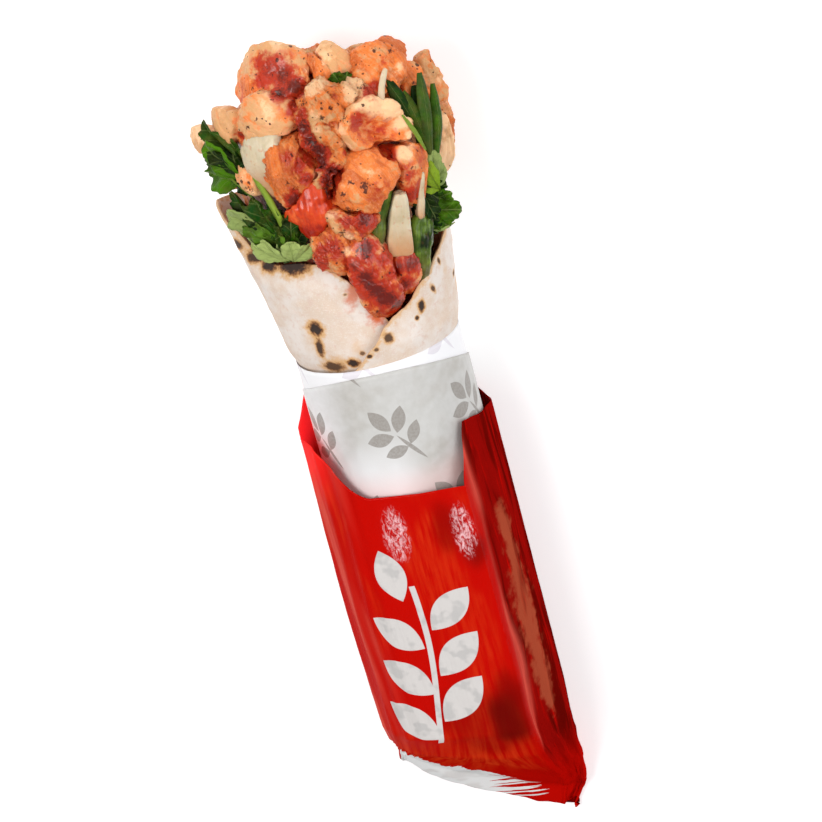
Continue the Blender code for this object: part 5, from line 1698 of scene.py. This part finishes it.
def add_leaf(bm, row, layers):
    """One lobed leaf, folded up along its veins, bent, and crinkled at its rim."""
    foot, tip, face, width, lobes, bend, cup, tone, crinkle = row
    tones, veins = layers
    foot, tip = Vector(foot), Vector(tip)
    length = (tip - foot).length
    along = (tip - foot) / length
    side = along.cross(Vector(face)).normalized()
    up = side.cross(along)
    left = min(turn - breadth for turn, _, breadth in lobes) - LEAF_RUN_ON
    right = max(turn + breadth for turn, _, breadth in lobes) + LEAF_RUN_ON
    made = bmesh.ops.create_grid(bm, x_segments=LEAF_COLUMNS, y_segments=LEAF_ROWS, size=0.5)
    bend, cup = math.radians(bend), math.radians(cup)
    for vertex in made["verts"]:
        turn = left + (right - left) * (vertex.co.x + 0.5)
        out = vertex.co.y + 0.5
        rim, near = lobed(turn, lobes)
        reach = rim * (out**0.8)
        x = reach * math.sin(math.radians(turn)) * width
        y = reach * math.cos(math.radians(turn))
        fold = 0.13 * min(1.0, abs(near) * 1.3) * reach
        fold += 0.022 * abs(math.sin(near * 9 + reach * 14)) * min(1.0, abs(near) * 4)
        ripple = out**1.5 * rough(x * 4.5 + foot.x, y * 4.5, foot.y) * 2.8
        ripple += 0.9 * out * rough(x * 10, y * 10 + foot.x, foot.y)
        z = fold + crinkle / length * ripple
        cupped = cup * (0.12 - x * x / max(0.3, width)) * 0.6
        z += (bend * y * (0.5 - 0.5 * y) + cupped) - 0.12 * cup * 0.6
        vertex.co = (foot + (along * y + side * x + up * z) * length) * MM
        # Painted shade in the hollows of the crinkles; also darker towards the leaf's foot.
        darker = 0.3 * ramp(0.55, 0.0, out) + 0.55 * ramp(0.1, -0.7, ripple)
        vertex[tones] = (tone[0], min(1.0, tone[1] + darker), tone[2], tone[3])
        vertex[veins] = (near, reach, out)


def add_blade(bm, row, layers):
    """One narrow leaf or stalk along its points, lens-shaped, with a raised middle."""
    points, face, width, depth, tone = row
    tones, veins = layers
    points = [Vector(point) for point in points]
    way = (points[-1] - points[0]).normalized()
    side = way.cross(Vector(face)).normalized()
    up = side.cross(way)
    made = bmesh.ops.create_grid(bm, x_segments=BLADE_COLUMNS, y_segments=BLADE_ROWS, size=0.5)
    for vertex in made["verts"]:
        across, along = vertex.co.x * 2, vertex.co.y + 0.5
        share = along * (len(points) - 1)
        first = min(int(share), len(points) - 2)
        middle = points[first].lerp(points[first + 1], share - first)
        # Painted shade: darker towards both edges, lighter along the raised middle.
        dark = ramp(0.15, 0.8, abs(across + 0.5 * rough(along * 6, width)))
        dark *= 0.35 + 0.4 * rough(along * 3, 4, width)
        lens = max(0.12, math.sin(math.pi * (0.06 + 0.88 * along)) ** 0.6)
        off = side * (across * width / 2 * lens)
        crown = up * (depth * (1 - across * across) * lens + 0.25 * rough(along * 9, across * 2, width))
        vertex.co = (middle + off + crown) * MM
        vertex[tones] = (tone[0], min(1.0, tone[1] + max(0.0, dark)), tone[2], tone[3])
        vertex[veins] = (across * 2.2, along * 3, 0.5)


def parsley_green():
    """Material of the leaves: tones from the attributes, pale veins, a waxy shine."""
    paint, nodes, shader, place = new_paint("parsley_green")
    bright, dark, pale = nodes.shares(nodes.attribute("tones", "Color"))
    off_middle, reach, _ = nodes.parts(nodes.attribute("veins", "Vector"))
    patch = nodes.noise(place, 0.35, 4.0, 0.6)
    fine = nodes.noise(place, 1.3, 3.0, 0.6)
    colour = nodes.blend(nodes.ramp(patch, 0.35, 0.65), PARSLEY_TONES["olive"], PARSLEY_TONES["deep"])
    broad = nodes.ramp(nodes.noise(place, 0.16, 2.0), 0.35, 0.6, -0.45, 0.1)
    lively = nodes.math("ADD", broad, nodes.ramp(fine, 0.4, 0.7, -0.1, 0.15))
    colour = nodes.blend(nodes.math("ADD", bright, lively), colour, PARSLEY_TONES["bright"])
    dark = nodes.math("MULTIPLY", dark, nodes.ramp(patch, 0.3, 0.6, 1.0, 0.75))
    colour = nodes.blend(dark, colour, PARSLEY_TONES["black"])
    colour = nodes.blend(nodes.attribute("tones", "Alpha"), colour, PARSLEY_TONES["lime"])
    colour = nodes.blend(pale, colour, PARSLEY_TONES["pale"])
    across = nodes.math("ABSOLUTE", off_middle)
    slant = nodes.math("MULTIPLY_ADD", reach, 26.0, nodes.math("MULTIPLY", across, -9.0))
    side_veins = nodes.ramp(nodes.math("SINE", slant), 0.86, 1.0)
    side_veins = nodes.math("MULTIPLY", side_veins, nodes.ramp(across, 1.0, 0.5, 0.0, 0.55))
    lines = nodes.math("MAXIMUM", nodes.ramp(across, 0.11, 0.03), side_veins)
    pale_vein = nodes.blend(0.45, colour, PARSLEY_TONES["pale"])
    height = nodes.math("ADD", nodes.math("MULTIPLY", lines, -0.8), nodes.noise(place, 0.9, 4.0, 0.6))
    nodes.dress(
        shader,
        Base_Color=nodes.blend(nodes.math("MULTIPLY", lines, 0.55), colour, pale_vein),
        Roughness=nodes.spread(fine, 0.24, 0.42),
        Normal=nodes.bump(height, 0.4 * MM, 0.8),
        Specular_IOR_Level=0.07,
    )
    return paint


leaf_paint = parsley_green()
for bunch in ("parsley_left", "parsley_low", "parsley_lip", "parsley_right", "parsley_stems"):
    bm = bmesh.new()
    layers = bm.verts.layers.float_color.new("tones"), bm.verts.layers.float_vector.new("veins")
    for row in PARSLEY_LEAVES.get(bunch, ()):
        add_leaf(bm, row, layers)
    for row in PARSLEY_BLADES.get(bunch, ()):
        add_blade(bm, row, layers)
    bmesh.ops.remove_doubles(bm, verts=bm.verts, dist=1e-6)
    leaves = new_piece(bunch + "_leaves", bm, leaf_paint, angle=180)
    thicken(leaves, LEAF_SHEET)
    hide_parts(bunch)
